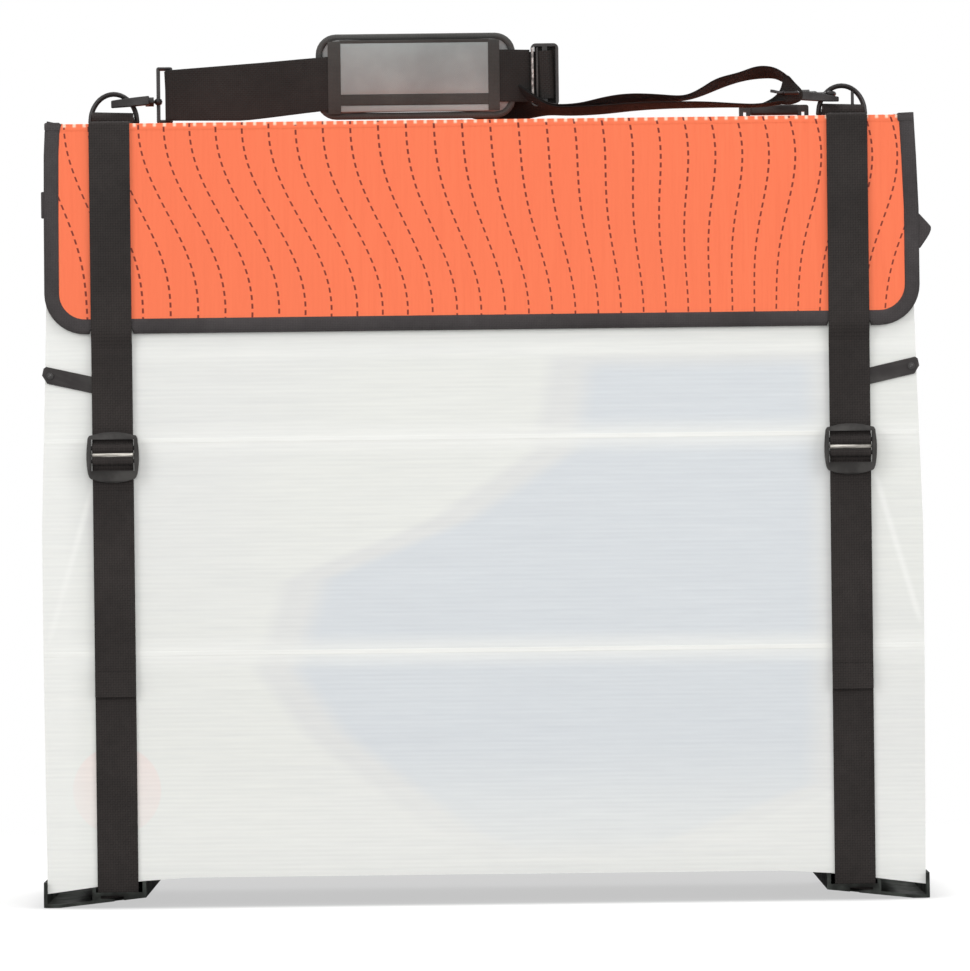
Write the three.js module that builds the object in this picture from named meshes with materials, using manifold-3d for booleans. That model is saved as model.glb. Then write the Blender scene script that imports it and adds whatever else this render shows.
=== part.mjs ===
// A folding kayak packed into its carrying box: the corrugated hull is folded flat on itself, the
// floorboard wraps over it as a lid, two webbing straps go round it, and a shoulder strap crosses the top.
// Units are millimetres. X runs along the box, -Y is its front and +Z is up from the floor.
import * as THREE from "three";
import { mergeVertices } from "three/addons/utils/BufferGeometryUtils.js";
import Module from "manifold-3d";

const manifold = await Module();
manifold.setup();

// Clearances and cutting allowance that every piece shares
const gap = 0.3;
const overrun = 12;

// Twin-wall sheet: two skins joined by ribs, with open flutes between them
const sheet = { thickness: 4.5, skin: 0.8, rib: 1.2, pitch: 7.5, edgeMargin: 2.2 };

// Hull folded into a box
const hull = {
  halfDepth: 148,
  topHalfWidth: 411,
  shoulderHalfWidth: 417.5,
  bellyHalfWidth: 422,
  footHalfWidth: 420.5,
  topHeight: 744.4,
  shoulderHeight: 500,
  upperCreaseHeight: 446,
  bellyHeight: 360,
  lowerCreaseHeight: 242,
};

// Arch of the hull's bottom edge, from its flat middle down to the ends
const arch = {
  flatHeight: 27.3,
  flatHalfWidth: 285,
  kneeHeight: 19.3,
  kneeHalfWidth: 374,
  footHeight: 13.2,
};

// Gussets that fold in at each end, and the folded bow and stern panels inside the hull's faces
const gusset = { outerHalfWidth: 404, foldInset: 58, bottomHeight: 30, topGap: 1.4 };
const foldedPanel = { bottomHeight: 47, height: 473, shortSideX: -196, longSideX: 333 };
const foldedPanelShares = [
  [0.0, 0.376],
  [0.055, 0.52],
  [0.32, 0.675],
  [0.512, 0.815],
  [0.541, 0.997],
  [0.994, 0.992],
  [1.0, 0.445],
  [0.993, 0.14],
  [0.675, 0.004],
  [0.404, 0.007],
  [0.314, 0.037],
  [0.091, 0.244],
];

// Floorboard used as the lid
const board = {
  thickness: 4.5,
  topHeight: 750,
  topHalfWidth: 411.5,
  flapHalfWidth: 417.5,
  flapBottomHeight: 552.5,
  cornerRadius: 36,
  hullGap: 1,
};
const binding = { thickness: 6.1, width: 13.5, edgeWeb: 0.9 };
const creaseGap = 0.3;
const lidEnds = { bindingSetback: 2.2, strapRearSetback: 3.5, flapBindingDrop: 5 };

// Webbing compression straps
const strap = { halfSpacing: 353, width: 39, thickness: 2, faceGap: 0.3, rearGap: 3.5 };
const hanging = { backset: 3.9, bendStart: 3, bendEnd: 17, loopRadius: 3.8, loopThickness: 1.8, sewnRise: 7 };
const tail = {
  thickness: 1.6,
  wrapRadius: 3.1,
  riserStart: 398.3,
  riserLean: 15.7,
  riserTop: 5.5,
  behindLip: 2,
  slotDrop: 8,
  lipExitDrop: 22,
  restDrop: 29,
  restDepth: 152.3,
  endHeight: 201,
  hemLength: 24,
  hemThickness: 3,
};

// Ladder-lock buckle
const lock = {
  topHeight: 455,
  height: 49,
  halfWidth: 24,
  windowHalfWidth: 20.6,
  bulge: 2.2,
  cornerRun: 3.5,
  cornerDrop: 6,
  taperDrop: 38,
  taperInset: 4.6,
  taperEnd: 45.4,
  archBand: 7.2,
  archRise: 3.2,
  windowEnd: 37.2,
  frontDepth: 160,
  railBackDepth: 152.8,
  archBackDepth: 156.4,
  lipBackDepth: 155.6,
  edgeEase: 1.6,
  loopBarDrop: 15.5,
  loopBarRadius: 2.1,
  ladderBarDrop: 28,
  ladderBarDepth: 155.9,
  ladderBarRadius: 1.9,
};

// Keeper tabs riveted to the hull front
const keeper = {
  thickness: 1.6,
  width: 15.6,
  rivetHalfSpacing: 412.5,
  rivetHeight: 509.3,
  tipReach: 7.5,
  tipChamfer: 6.5,
  innerReach: 66,
  droop: 0.225,
  rivetRadius: 3.6,
  rivetHeadHeight: 1.4,
  shaftRadius: 1.6,
  shaftReach: 4,
};

// Moulded corner shoes
const shoe = {
  outerHalfWidth: 424.5,
  innerHalfWidth: 326,
  soleFlat: 16,
  soleRise: 9,
  soleThickness: 3,
  wall: 3.5,
  outerWallHeight: 24,
  halfDepth: 154,
  ribOffset: 374,
  lipHeight: 14.2,
  lipThickness: 2.6,
  slotInner: 356.5,
  slotOuter: 369.5,
  slotBottomLift: 0.9,
  slotTop: 11,
  notchInner: 347.5,
  cornerRadius: 7,
};

// Shoulder strap plane, swivel line and D-rings
const carry = { planeY: -60, swivelHeight: 775.5 };
const ring = {
  wireRadius: 2.5,
  halfWidth: 22.5,
  barHeight: 756.2,
  arcHeight: 27,
  loopThickness: 1.8,
  loopHalfFoot: 19,
};
const hook = {
  barrelRadius: 4.6,
  barrelInner: 314,
  barrelLength: 8,
  shankRadius: 3,
  bowRadius: 9.2,
  bowWire: 2.5,
  noseAngle: -62,
  gateRadius: 1.5,
  gateRootAngle: -158,
  seatShift: 0.75,
  pinRadius: 1.7,
  pinHeadRadius: 2.9,
  pinHeadLength: 2.6,
  boreEase: 0.4,
};
const eye = { wireRadius: 1.9, nearBarX: 309.5, depth: 12, sideClearance: 0.4, ballRadius: 4 };
const webbing = {
  width: 46.5,
  thickness: 2,
  leftHeight: 781.6,
  rightHeight: 797,
  loopClearance: 1.3,
  secondLayer: 138,
};

// Shoulder pad: two cushioned faces with a bound rim, threaded on the webbing by keepers
const pad = {
  centreX: -59.7,
  centreHeight: 797,
  halfLength: 98,
  halfHeight: 42,
  edgeHalfThickness: 2.6,
  crown: 5.2,
  cornerRadius: 19,
  sideDraw: 1.6,
  segments: 40,
  backCrown: 1.5,
  seamShare: 0.83,
  seamDip: 0.9,
  webbingGap: 0.4,
  keeperWidth: 9,
  keeperOffset: 78,
  keeperThickness: 1.6,
  keeperMargin: 1.6,
};

// Slider: a three-bar frame on the webbing
const slider = {
  centreX: 65.5,
  halfLength: 13.5,
  halfHeight: 30.5,
  halfThickness: 2.4,
  rim: 3,
  barHalfWidth: 2.5,
  cornerRadius: 5,
  webbingGap: 0.3,
  crossingClearance: 1.2,
  webbingEndInset: 1.5,
};

// The two strands between the slider and the right hook. Each row of shares gives a place along the strand,
// its height, its turn from upright in degrees and how far it stands behind the strap's plane.
const strand = { width: 44, thickness: 1.8, startReach: 75.5, floorHeight: 757.6, peakRise: 41, backReach: 12, turnClearance: 0.4 };
const upperStrandShares = [
  [0.0, 0.863, 0, 0.4],
  [0.078, 0.693, 2, 0.43],
  [0.13, 0.534, 12, 0.535],
  [0.163, 0.412, 32, 0.583],
  [0.195, 0.22, 55, 0.43],
  [0.234, 0.135, 76, 0.208],
  [0.28, 0.137, 86, 0.042],
  [0.358, 0.146, 88, 0],
  [0.416, 0.19, 85, 0],
  [0.479, 0.34, 80, 0],
  [0.536, 0.38, 80, 0],
  [0.608, 0.375, 82, 0],
  [0.678, 0.42, 88, 0],
  [0.725, 0.48, 84, 0],
  [0.776, 0.69, 74, 0],
  [0.817, 0.79, 78, 0],
  [0.874, 0.91, 76, 0],
  [0.93, 0.985, 76, 0],
  [0.96, 0.93, 80, 0],
  [0.98, 0.76, 86, 0],
  [0.9955, 0.517, 90, 0],
];
const lowerStrandShares = [
  [0.0, 0.863, 0, 0.6],
  [0.078, 0.693, 2, 0.65],
  [0.13, 0.517, 12, 0.79],
  [0.163, 0.368, 32, 0.817],
  [0.195, 0.18, 55, 0.575],
  [0.234, 0.066, 76, 0.275],
  [0.28, 0.0585, 86, 0.058],
  [0.3675, 0.051, 88, 0],
  [0.467, 0.09, 86, 0],
  [0.571, 0.15, 87, 0],
  [0.678, 0.19, 88, 0],
  [0.798, 0.22, 88, 0],
  [0.861, 0.22, 90, 0],
  [0.93, 0.25, 90, 0],
  [1.0, 0.356, 90, 0],
];

// Small fittings on the lid
const handle = {
  centreX: 290,
  planeY: 10,
  halfLength: 34,
  depth: 11,
  barTop: 18.4,
  barThickness: 6.6,
  postWidth: 4,
  postPairGap: 3,
  topRadius: 2.4,
};
const pull = {
  centreHeight: 640.5,
  rootHalfHeight: 18.5,
  rightReach: 14,
  leftReach: 3.2,
  thickness: 3.2,
  tipFlat: 3.4,
  holeMargin: 5,
};

// Gear packed inside the hull
const bulkhead = { thickness: 4.5, bottomHalfWidth: 118, topHalfWidth: 196, height: 262, topRise: 26, wallGap: 20 };
const seatBase = { halfLength: 185, halfHeight: 146, edgeHalfThickness: 8, crown: 7, cornerRadius: 42, sideDraw: 6 };
const seatBack = { halfLength: 165, halfHeight: 128, edgeHalfThickness: 6, crown: 6, cornerRadius: 55, sideDraw: 5 };
const seatSeam = { backCrown: 2, seamShare: 0.86, seamDip: 1.2, segments: 24 };
const footBrace = { halfLength: 150, height: 62, depth: 34, cornerRadius: 14, wall: 4, packGap: 3 };

const colours = {
  sheet: 0xe9ebe8,
  foldedSheet: 0xdde2e6,
  board: 0xfb7d54,
  binding: 0x34302f,
  webbing: 0x3b3635,
  moulded: 0x35393a,
  steel: 0x2b2729,
  padPanel: 0x9a9a98,
  gear: 0x4a4d50,
};

// Turns a shape drawn in the plane square to an axis into a bar along that axis, centred on zero.
function bar(shape, length, axis, curveSegments = 8) {
  const geometry = new THREE.ExtrudeGeometry(shape, { depth: length, bevelEnabled: false, curveSegments });
  geometry.translate(0, 0, -length / 2);
  const [u, v] = { x: ["Y", "Z"], y: ["X", "Z"], z: ["X", "Y"] }[axis];
  const unit = { X: new THREE.Vector3(1, 0, 0), Y: new THREE.Vector3(0, 1, 0), Z: new THREE.Vector3(0, 0, 1) };
  const across = new THREE.Vector3().crossVectors(unit[u], unit[v]);
  return geometry.applyMatrix4(new THREE.Matrix4().makeBasis(unit[u], unit[v], across));
}

function polygon(points) {
  return new THREE.Shape(points.map(([u, v]) => new THREE.Vector2(u, v)));
}

function rectangle(low, high) {
  return polygon([
    [low[0], low[1]],
    [high[0], low[1]],
    [high[0], high[1]],
    [low[0], high[1]],
  ]);
}

function roundedRectangle(low, high, radius) {
  const shape = new THREE.Shape();
  shape.moveTo(low[0] + radius, low[1]);
  shape.lineTo(high[0] - radius, low[1]);
  shape.absarc(high[0] - radius, low[1] + radius, radius, -Math.PI / 2, 0);
  shape.lineTo(high[0], high[1] - radius);
  shape.absarc(high[0] - radius, high[1] - radius, radius, 0, Math.PI / 2);
  shape.lineTo(low[0] + radius, high[1]);
  shape.absarc(low[0] + radius, high[1] - radius, radius, Math.PI / 2, Math.PI);
  shape.lineTo(low[0], low[1] + radius);
  shape.absarc(low[0] + radius, low[1] + radius, radius, Math.PI, 1.5 * Math.PI);
  return shape;
}

// A block between two corners.
function block(low, high) {
  const size = high.map((value, i) => Math.abs(value - low[i]));
  const middle = high.map((value, i) => (value + low[i]) / 2);
  return new THREE.BoxGeometry(...size).translate(...middle);
}

// The outline of webbing of one thickness that follows a centre line in a plane.
function stripShape(centreLine, thickness) {
  const points = centreLine.map(([u, v]) => new THREE.Vector2(u, v));
  const half = thickness / 2;
  const side = (sign) =>
    points.map((point, i) => {
      const before = points[Math.max(i - 1, 0)];
      const after = points[Math.min(i + 1, points.length - 1)];
      const into = (i > 0 ? point.clone().sub(before) : after.clone().sub(point)).normalize();
      const out = (i < points.length - 1 ? after.clone().sub(point) : into.clone()).normalize();
      const normal = new THREE.Vector2(-into.y - out.y, into.x + out.x).normalize();
      const stretch = 1 / Math.max(normal.dot(new THREE.Vector2(-into.y, into.x)), 0.4);
      return point.clone().addScaledVector(normal, sign * half * stretch);
    });
  return new THREE.Shape([...side(1), ...side(-1).reverse()]);
}

function arcPoints(centre, radius, start, end, steps) {
  return Array.from({ length: steps + 1 }, (_, i) => {
    const angle = THREE.MathUtils.degToRad(start + ((end - start) * i) / steps);
    return [centre[0] + radius * Math.cos(angle), centre[1] + radius * Math.sin(angle)];
  });
}

// A round wire along a curve.
function wire(extrudePath, radius, steps) {
  const section = new THREE.Shape();
  section.absarc(0, 0, radius, 0, 2 * Math.PI);
  return new THREE.ExtrudeGeometry(section, { steps, extrudePath, bevelEnabled: false, curveSegments: 5 });
}

// A cylinder between two points.
function rod(from, to, radius, sides = 12) {
  const start = new THREE.Vector3(...from);
  const along = new THREE.Vector3(...to).sub(start);
  const geometry = new THREE.CylinderGeometry(radius, radius, along.length(), sides);
  geometry.translate(0, along.length() / 2, 0);
  const turn = new THREE.Quaternion().setFromUnitVectors(new THREE.Vector3(0, 1, 0), along.clone().normalize());
  return geometry.applyQuaternion(turn).translate(...from);
}

function solid(geometry) {
  const bare = geometry.clone();
  Object.keys(bare.attributes).forEach((name) => {
    if (name !== "position") bare.deleteAttribute(name);
  });
  const merged = mergeVertices(bare, 1e-4);
  return new manifold.Manifold(
    new manifold.Mesh({
      numProp: 3,
      vertProperties: new Float32Array(merged.attributes.position.array),
      triVerts: new Uint32Array(merged.index.array),
    }),
  );
}

function joined(...geometries) {
  return geometries.map(solid).reduce((whole, next) => whole.add(next));
}

function geometryOf(made) {
  const { numProp, vertProperties, triVerts } = made.getMesh();
  const positions = new Float32Array((vertProperties.length / numProp) * 3);
  for (let i = 0; i < positions.length / 3; i += 1) {
    positions.set(vertProperties.subarray(i * numProp, i * numProp + 3), i * 3);
  }
  const geometry = new THREE.BufferGeometry();
  geometry.setAttribute("position", new THREE.BufferAttribute(positions, 3));
  geometry.setIndex(new THREE.BufferAttribute(new Uint32Array(triVerts), 1));
  const flat = geometry.toNonIndexed();
  flat.computeVertexNormals();
  return flat;
}

function finish(colour, roughness, metalness = 0) {
  return new THREE.MeshStandardMaterial({ color: colour, roughness, metalness });
}

function piece(name, made, material) {
  const geometry = made.isBufferGeometry ? made : geometryOf(made);
  const mesh = new THREE.Mesh(geometry, material);
  mesh.name = name;
  return mesh;
}

const sides = [
  { name: "left", sign: -1 },
  { name: "right", sign: 1 },
];
const faces = [
  { name: "front", sign: -1 },
  { name: "back", sign: 1 },
];

// Hull: fluted bands at front and back, the arched bottom, the end gussets and the folded panels
function hullHalfWidth(z) {
  const rows = [
    [arch.footHeight, hull.footHalfWidth],
    [hull.lowerCreaseHeight, hull.bellyHalfWidth],
    [hull.bellyHeight, hull.bellyHalfWidth],
    [hull.shoulderHeight, hull.shoulderHalfWidth],
    [hull.topHeight, hull.topHalfWidth],
  ];
  const next = rows.findIndex(([height]) => z <= height);
  if (next <= 0) return rows[0][1];
  const [low, high] = [rows[next - 1], rows[next]];
  return low[1] + ((high[1] - low[1]) * (z - low[0])) / (high[0] - low[0]);
}

function archHeight(x) {
  const away = Math.abs(x);
  if (away <= arch.flatHalfWidth) return arch.flatHeight;
  if (away <= arch.kneeHalfWidth) {
    const share = (away - arch.flatHalfWidth) / (arch.kneeHalfWidth - arch.flatHalfWidth);
    return arch.flatHeight - (arch.flatHeight - arch.kneeHeight) * share ** 1.5;
  }
  const slope = (arch.kneeHeight - arch.footHeight) / (hull.footHalfWidth - arch.kneeHalfWidth);
  return arch.kneeHeight - slope * (away - arch.kneeHalfWidth);
}

function archLine(halfWidth, lift) {
  const middle = (arch.flatHalfWidth + arch.kneeHalfWidth) / 2;
  const right = [arch.flatHalfWidth, middle, arch.kneeHalfWidth, halfWidth];
  return [...right.map((x) => -x).reverse(), ...right].map((x) => [x, archHeight(x) + lift]);
}

function bandOutline(low, high, followsArch) {
  const breaks = [hull.bellyHeight, hull.shoulderHeight].filter((z) => z > low && z < high);
  const levels = [...(followsArch ? [] : [low]), ...breaks, high];
  const rightEdge = levels.map((z) => [hullHalfWidth(z), z]);
  const leftEdge = levels.map((z) => [-hullHalfWidth(z), z]).reverse();
  const bottom = followsArch ? archLine(hull.footHalfWidth, 0) : [];
  return polygon([...bottom, ...rightEdge, ...leftEdge]);
}

function flutedBand(low, high, face, followsArch) {
  const outer = face * hull.halfDepth;
  const inner = face * (hull.halfDepth - sheet.thickness);
  const base = followsArch ? archHeight(hull.footHalfWidth) : low;
  const section = rectangle([Math.min(outer, inner), base], [Math.max(outer, inner), high]);
  const count = Math.floor((high - base - 2 * sheet.edgeMargin) / sheet.pitch);
  const start = (high + base - count * sheet.pitch) / 2;
  const cell = Math.min(outer, inner) + sheet.skin;
  for (let i = 0; i < count; i += 1) {
    const z = start + i * sheet.pitch + sheet.rib / 2;
    section.holes.push(
      rectangle([cell, z], [cell + sheet.thickness - 2 * sheet.skin, z + sheet.pitch - sheet.rib]),
    );
  }
  const outline = bar(bandOutline(low, high, followsArch), 2 * (hull.halfDepth + overrun), "y");
  return solid(bar(section, 2 * (hull.bellyHalfWidth + overrun), "x")).intersect(solid(outline));
}

function hullFaces(material) {
  const levels = [arch.footHeight, hull.lowerCreaseHeight, hull.upperCreaseHeight, hull.topHeight];
  const names = ["lower", "middle", "upper"];
  return faces.flatMap((face) =>
    names.map((name, i) => {
      const low = levels[i] + (i ? creaseGap / 2 : 0);
      const high = levels[i + 1] - (i < names.length - 1 ? creaseGap / 2 : 0);
      let band = flutedBand(low, high, face.sign, i === 0);
      if (face.name === "front" && name === "upper") band = band.subtract(keeperHoles());
      return piece(`hull_${face.name}_${name}`, band, material);
    }),
  );
}

function hullBottom() {
  const halfWidth = arch.kneeHalfWidth + (hull.footHalfWidth - arch.kneeHalfWidth) / 2;
  const outline = polygon([
    ...archLine(halfWidth, 0),
    ...archLine(halfWidth, sheet.thickness).reverse(),
  ]);
  return bar(outline, 2 * (hull.halfDepth - sheet.thickness - gap), "y");
}

function gussetLeaf(side, face) {
  const edge = hull.halfDepth - sheet.thickness - gap;
  const fold = gap / 2;
  const topHeight = hull.topHeight - gusset.topGap;
  const run = edge - fold;
  const across = (sheet.thickness * Math.hypot(run, gusset.foldInset)) / run;
  const inner = gusset.outerHalfWidth - gusset.foldInset;
  const plan = [
    [gusset.outerHalfWidth, edge],
    [inner, fold],
    [inner - across, fold],
    [gusset.outerHalfWidth - across, edge],
  ].map(([x, y]) => [side * x, face * y]);
  const leaf = bar(polygon(plan), topHeight - gusset.bottomHeight, "z");
  return leaf.translate(0, 0, (topHeight + gusset.bottomHeight) / 2);
}

function foldedHullPanel(face) {
  const width = foldedPanel.longSideX - foldedPanel.shortSideX;
  const points = foldedPanelShares.map(
    ([u, v]) =>
      new THREE.Vector2(
        -face * (foldedPanel.shortSideX + u * width),
        foldedPanel.bottomHeight + v * foldedPanel.height,
      ),
  );
  const rounded = new THREE.CatmullRomCurve3(
    points.map((point) => new THREE.Vector3(point.x, point.y, 0)),
    true,
    "catmullrom",
    0.35,
  ).getPoints(44);
  const outline = new THREE.Shape(rounded.slice(0, -1).map((point) => new THREE.Vector2(point.x, point.y)));
  const outer = hull.halfDepth - sheet.thickness - gap;
  return bar(outline, sheet.thickness, "y").translate(0, face * (outer - sheet.thickness / 2), 0);
}

// Corner shoe: a sloped sole with end walls, a rib under the hull and a slotted lip for the strap
function soleHeight(x) {
  const away = shoe.outerHalfWidth - shoe.soleFlat - Math.abs(x);
  const run = shoe.outerHalfWidth - shoe.soleFlat - shoe.innerHalfWidth;
  return Math.max(away, 0) * (shoe.soleRise / run);
}

function cornerShoe(side) {
  const { outerHalfWidth, innerHalfWidth, soleThickness, wall, halfDepth, ribOffset } = shoe;
  const flatStart = outerHalfWidth - shoe.soleFlat;
  const supportTop = (x) => archHeight(x) - gap;
  const onSide = (points) => polygon(points.map(([x, z]) => [side * x, z]));
  const innerTop = supportTop(innerHalfWidth + wall);
  const ribTop = Math.min(supportTop(ribOffset), supportTop(ribOffset + wall));
  const profile = onSide([
    [outerHalfWidth, 0],
    [outerHalfWidth - gap, shoe.outerWallHeight],
    [outerHalfWidth - wall, shoe.outerWallHeight],
    [outerHalfWidth - wall, soleThickness],
    [flatStart, soleThickness],
    [ribOffset + wall, soleHeight(ribOffset + wall) + soleThickness],
    [ribOffset + wall, ribTop],
    [ribOffset, ribTop],
    [ribOffset, soleHeight(ribOffset) + soleThickness],
    [innerHalfWidth + wall, soleHeight(innerHalfWidth + wall) + soleThickness],
    [innerHalfWidth + wall, innerTop],
    [innerHalfWidth, innerTop],
    [innerHalfWidth, soleHeight(innerHalfWidth)],
    [flatStart, 0],
  ]);
  const lipOutline = onSide([
    [ribOffset + wall, soleHeight(ribOffset + wall)],
    [ribOffset + wall, shoe.lipHeight],
    [innerHalfWidth, shoe.lipHeight],
    [innerHalfWidth, soleHeight(innerHalfWidth)],
  ]);
  const slotFloor = soleHeight(shoe.slotOuter) + soleThickness + shoe.slotBottomLift;
  const slot = onSide([
    [shoe.slotOuter, slotFloor],
    [shoe.slotOuter, shoe.slotTop],
    [shoe.slotInner, shoe.slotTop],
    [shoe.slotInner, slotFloor],
  ]);
  const notch = onSide([
    [shoe.slotInner, soleHeight(shoe.slotInner) - soleThickness],
    [shoe.slotInner, shoe.slotTop],
    [shoe.notchInner, shoe.slotTop],
    [shoe.notchInner, soleHeight(shoe.notchInner) - soleThickness],
  ]);
  let body = solid(bar(profile, 2 * halfDepth, "y"));
  for (const face of [-1, 1]) {
    const lipMiddle = face * (halfDepth - shoe.lipThickness / 2);
    body = body.add(solid(bar(lipOutline, shoe.lipThickness, "y").translate(0, lipMiddle, 0)));
    [slot, notch].forEach((cut) => {
      body = body.subtract(solid(bar(cut, shoe.lipThickness + overrun, "y").translate(0, lipMiddle, 0)));
    });
  }
  const plan = roundedRectangle(
    [innerHalfWidth - overrun, -halfDepth],
    [outerHalfWidth, halfDepth],
    shoe.cornerRadius,
  );
  const rounding = bar(plan, 2 * shoe.outerWallHeight + overrun, "z", 4);
  if (side < 0) rounding.rotateZ(Math.PI);
  return body.intersect(solid(rounding));
}

// Strap runs on the hull, which lie against it and pass behind the shoe's lip
function strapAcross(side) {
  const middle = side * strap.halfSpacing;
  return [middle - strap.width / 2, middle + strap.width / 2];
}

function underRunHeights(side) {
  const [low, high] = strapAcross(side);
  return [low, high].map((x) => soleHeight(x) + shoe.soleThickness + gap);
}

function hullStrapFace(side, face, top) {
  const [low, high] = strapAcross(side);
  const [lowFloor, highFloor] = underRunHeights(side);
  const outline = polygon([
    [low, lowFloor],
    [high, highFloor],
    [high, top],
    [low, top],
  ]);
  const middle = face * (hull.halfDepth + strap.faceGap + strap.thickness / 2);
  return bar(outline, strap.thickness, "y").translate(0, middle, 0);
}

function underStrap(side) {
  const [low, high] = strapAcross(side);
  const [lowFloor, highFloor] = underRunHeights(side);
  const section = polygon([
    [low, lowFloor],
    [high, highFloor],
    [high, highFloor + strap.thickness],
    [low, lowFloor + strap.thickness],
  ]);
  return bar(section, 2 * hull.halfDepth, "y");
}

const flapOuter = hull.halfDepth + board.hullGap + board.thickness;
const flapMiddle = flapOuter - board.thickness / 2;
const bindingOuter = flapMiddle + binding.thickness / 2;
const strapInner = bindingOuter + strap.faceGap;
const strapMiddle = strapInner + strap.thickness / 2;
const boardBottom = board.topHeight - board.thickness;

function rearStrap(side) {
  const [low] = strapAcross(side);
  const high = low + strap.width;
  const hullTop = board.flapBottomHeight - gap - strap.rearGap;
  const face = solid(hullStrapFace(side, 1, hullTop));
  const flapRun = solid(
    block([low, strapInner, board.flapBottomHeight], [high, strapInner + strap.thickness, boardBottom]),
  );
  const hullMiddle = hull.halfDepth + strap.faceGap + strap.thickness / 2;
  const stepShape = stripShape(
    [
      [hullMiddle, hullTop - strap.rearGap],
      [hullMiddle, hullTop - strap.thickness],
      [strapMiddle, board.flapBottomHeight - gap - strap.thickness],
      [strapMiddle, board.flapBottomHeight + strap.rearGap],
    ],
    strap.thickness,
  );
  const step = solid(bar(stepShape, strap.width, "x").translate((low + high) / 2, 0, 0));
  return face.add(flapRun).add(step);
}

// Floorboard: a flap at front and back with round lower corners, and the top between them
function flapOutline(inset, top) {
  const radius = board.cornerRadius;
  const bottom = board.flapBottomHeight;
  const centreX = board.flapHalfWidth - radius;
  const shape = new THREE.Shape();
  shape.moveTo(-(board.topHalfWidth - inset), top);
  shape.lineTo(-(board.flapHalfWidth - inset), bottom + radius);
  shape.absarc(-centreX, bottom + radius, radius - inset, Math.PI, 1.5 * Math.PI);
  shape.absarc(centreX, bottom + radius, radius - inset, 1.5 * Math.PI, 2 * Math.PI);
  shape.lineTo(board.topHalfWidth - inset, top);
  return shape;
}

function flapPanel(face) {
  const inset = binding.edgeWeb + gap;
  return bar(flapOutline(inset, board.topHeight - gap), board.thickness, "y").translate(0, face * flapMiddle, 0);
}

function flapBinding(face) {
  const top = board.topHeight - lidEnds.flapBindingDrop;
  const slotThickness = board.thickness + 2 * gap;
  const layer = (inset, height, thickness) =>
    solid(bar(flapOutline(inset, height), thickness, "y").translate(0, face * flapMiddle, 0));
  const outer = layer(0, top, binding.thickness);
  const inner = layer(binding.width, top + overrun, binding.thickness + overrun);
  const slot = layer(binding.edgeWeb, top + overrun, slotThickness);
  return outer.subtract(inner).subtract(slot);
}

function topPanel() {
  const halfWidth = board.topHalfWidth - binding.edgeWeb - gap;
  const halfDepth = hull.halfDepth + board.hullGap - creaseGap;
  return block([-halfWidth, -halfDepth, boardBottom], [halfWidth, halfDepth, board.topHeight]);
}

function topBinding(side) {
  const outer = side * board.topHalfWidth;
  const inner = side * (board.topHalfWidth - binding.width);
  const slotEdge = side * (board.topHalfWidth - binding.edgeWeb);
  const halfDepth = hull.halfDepth - lidEnds.bindingSetback;
  const middle = (board.topHeight + boardBottom) / 2;
  const halfThickness = binding.thickness / 2;
  const halfSlot = board.thickness / 2 + gap;
  return solid(
    block([inner, -halfDepth, middle - halfThickness], [outer, halfDepth, middle + halfThickness]),
  ).subtract(
    solid(
      block(
        [inner - side * overrun, -halfDepth - overrun, middle - halfSlot],
        [slotEdge, halfDepth + overrun, middle + halfSlot],
      ),
    ),
  );
}

// Webbing on the lid: a flat run with a sewn loop for the D-ring, and the run down the front flap
function topStrap(side) {
  const [low, high] = strapAcross(side);
  const floor = board.topHeight + strap.faceGap;
  const ceiling = floor + strap.thickness;
  const flat = block(
    [low, -(flapOuter - creaseGap), floor],
    [high, flapOuter - lidEnds.strapRearSetback, ceiling],
  );
  const sewn = ceiling + ring.loopThickness / 4;
  const radius = ring.wireRadius + gap + ring.loopThickness / 2;
  const centre = [carry.planeY, ring.barHeight];
  const path = [
    [carry.planeY - ring.loopHalfFoot, sewn],
    [carry.planeY - 2 * radius, sewn],
    ...arcPoints(centre, radius, 195, -15, 10),
    [carry.planeY + 2 * radius, sewn],
    [carry.planeY + ring.loopHalfFoot, sewn],
  ];
  const loop = bar(stripShape(path, ring.loopThickness), strap.width, "x");
  return joined(flat, loop.translate((low + high) / 2, 0, 0));
}

function frontFlapStrap(side) {
  const [low, high] = strapAcross(side);
  return block(
    [low, -strapInner - strap.thickness, board.flapBottomHeight],
    [high, -strapInner, board.topHeight - gap],
  );
}

// Draws a section given as depth in front of the middle plane against height, as webbing across X.
function frontStrip(path, thickness, side) {
  const shape = stripShape(
    path.map(([depth, z]) => [-depth, z]),
    thickness,
  );
  return bar(shape, strap.width, "x").translate(side * strap.halfSpacing, 0, 0);
}

const hangingDepth = strapMiddle - hanging.backset;
const loopBar = { depth: hangingDepth + hanging.loopRadius, height: lock.topHeight - lock.loopBarDrop };
const ladderBar = { depth: lock.ladderBarDepth, height: lock.topHeight - lock.ladderBarDrop };

function hangingStrap(side) {
  const top = board.flapBottomHeight - gap;
  const run = [
    [strapMiddle, top],
    [strapMiddle, top - hanging.bendStart],
    [hangingDepth, top - hanging.bendEnd],
    [hangingDepth, loopBar.height],
    ...arcPoints([loopBar.depth, loopBar.height], hanging.loopRadius, 195, 360, 8),
  ];
  const sewn = [
    ...arcPoints([loopBar.depth, loopBar.height], hanging.loopRadius, 355, 475, 6),
    [hangingDepth + strap.thickness / 2 + hanging.loopThickness / 2, loopBar.height + hanging.sewnRise],
  ];
  return joined(
    frontStrip(run, hanging.loopThickness, side),
    frontStrip(sewn, hanging.loopThickness, side),
    frontStrip([run[0], run[1], run[2], run[3]], strap.thickness, side),
  );
}

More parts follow.
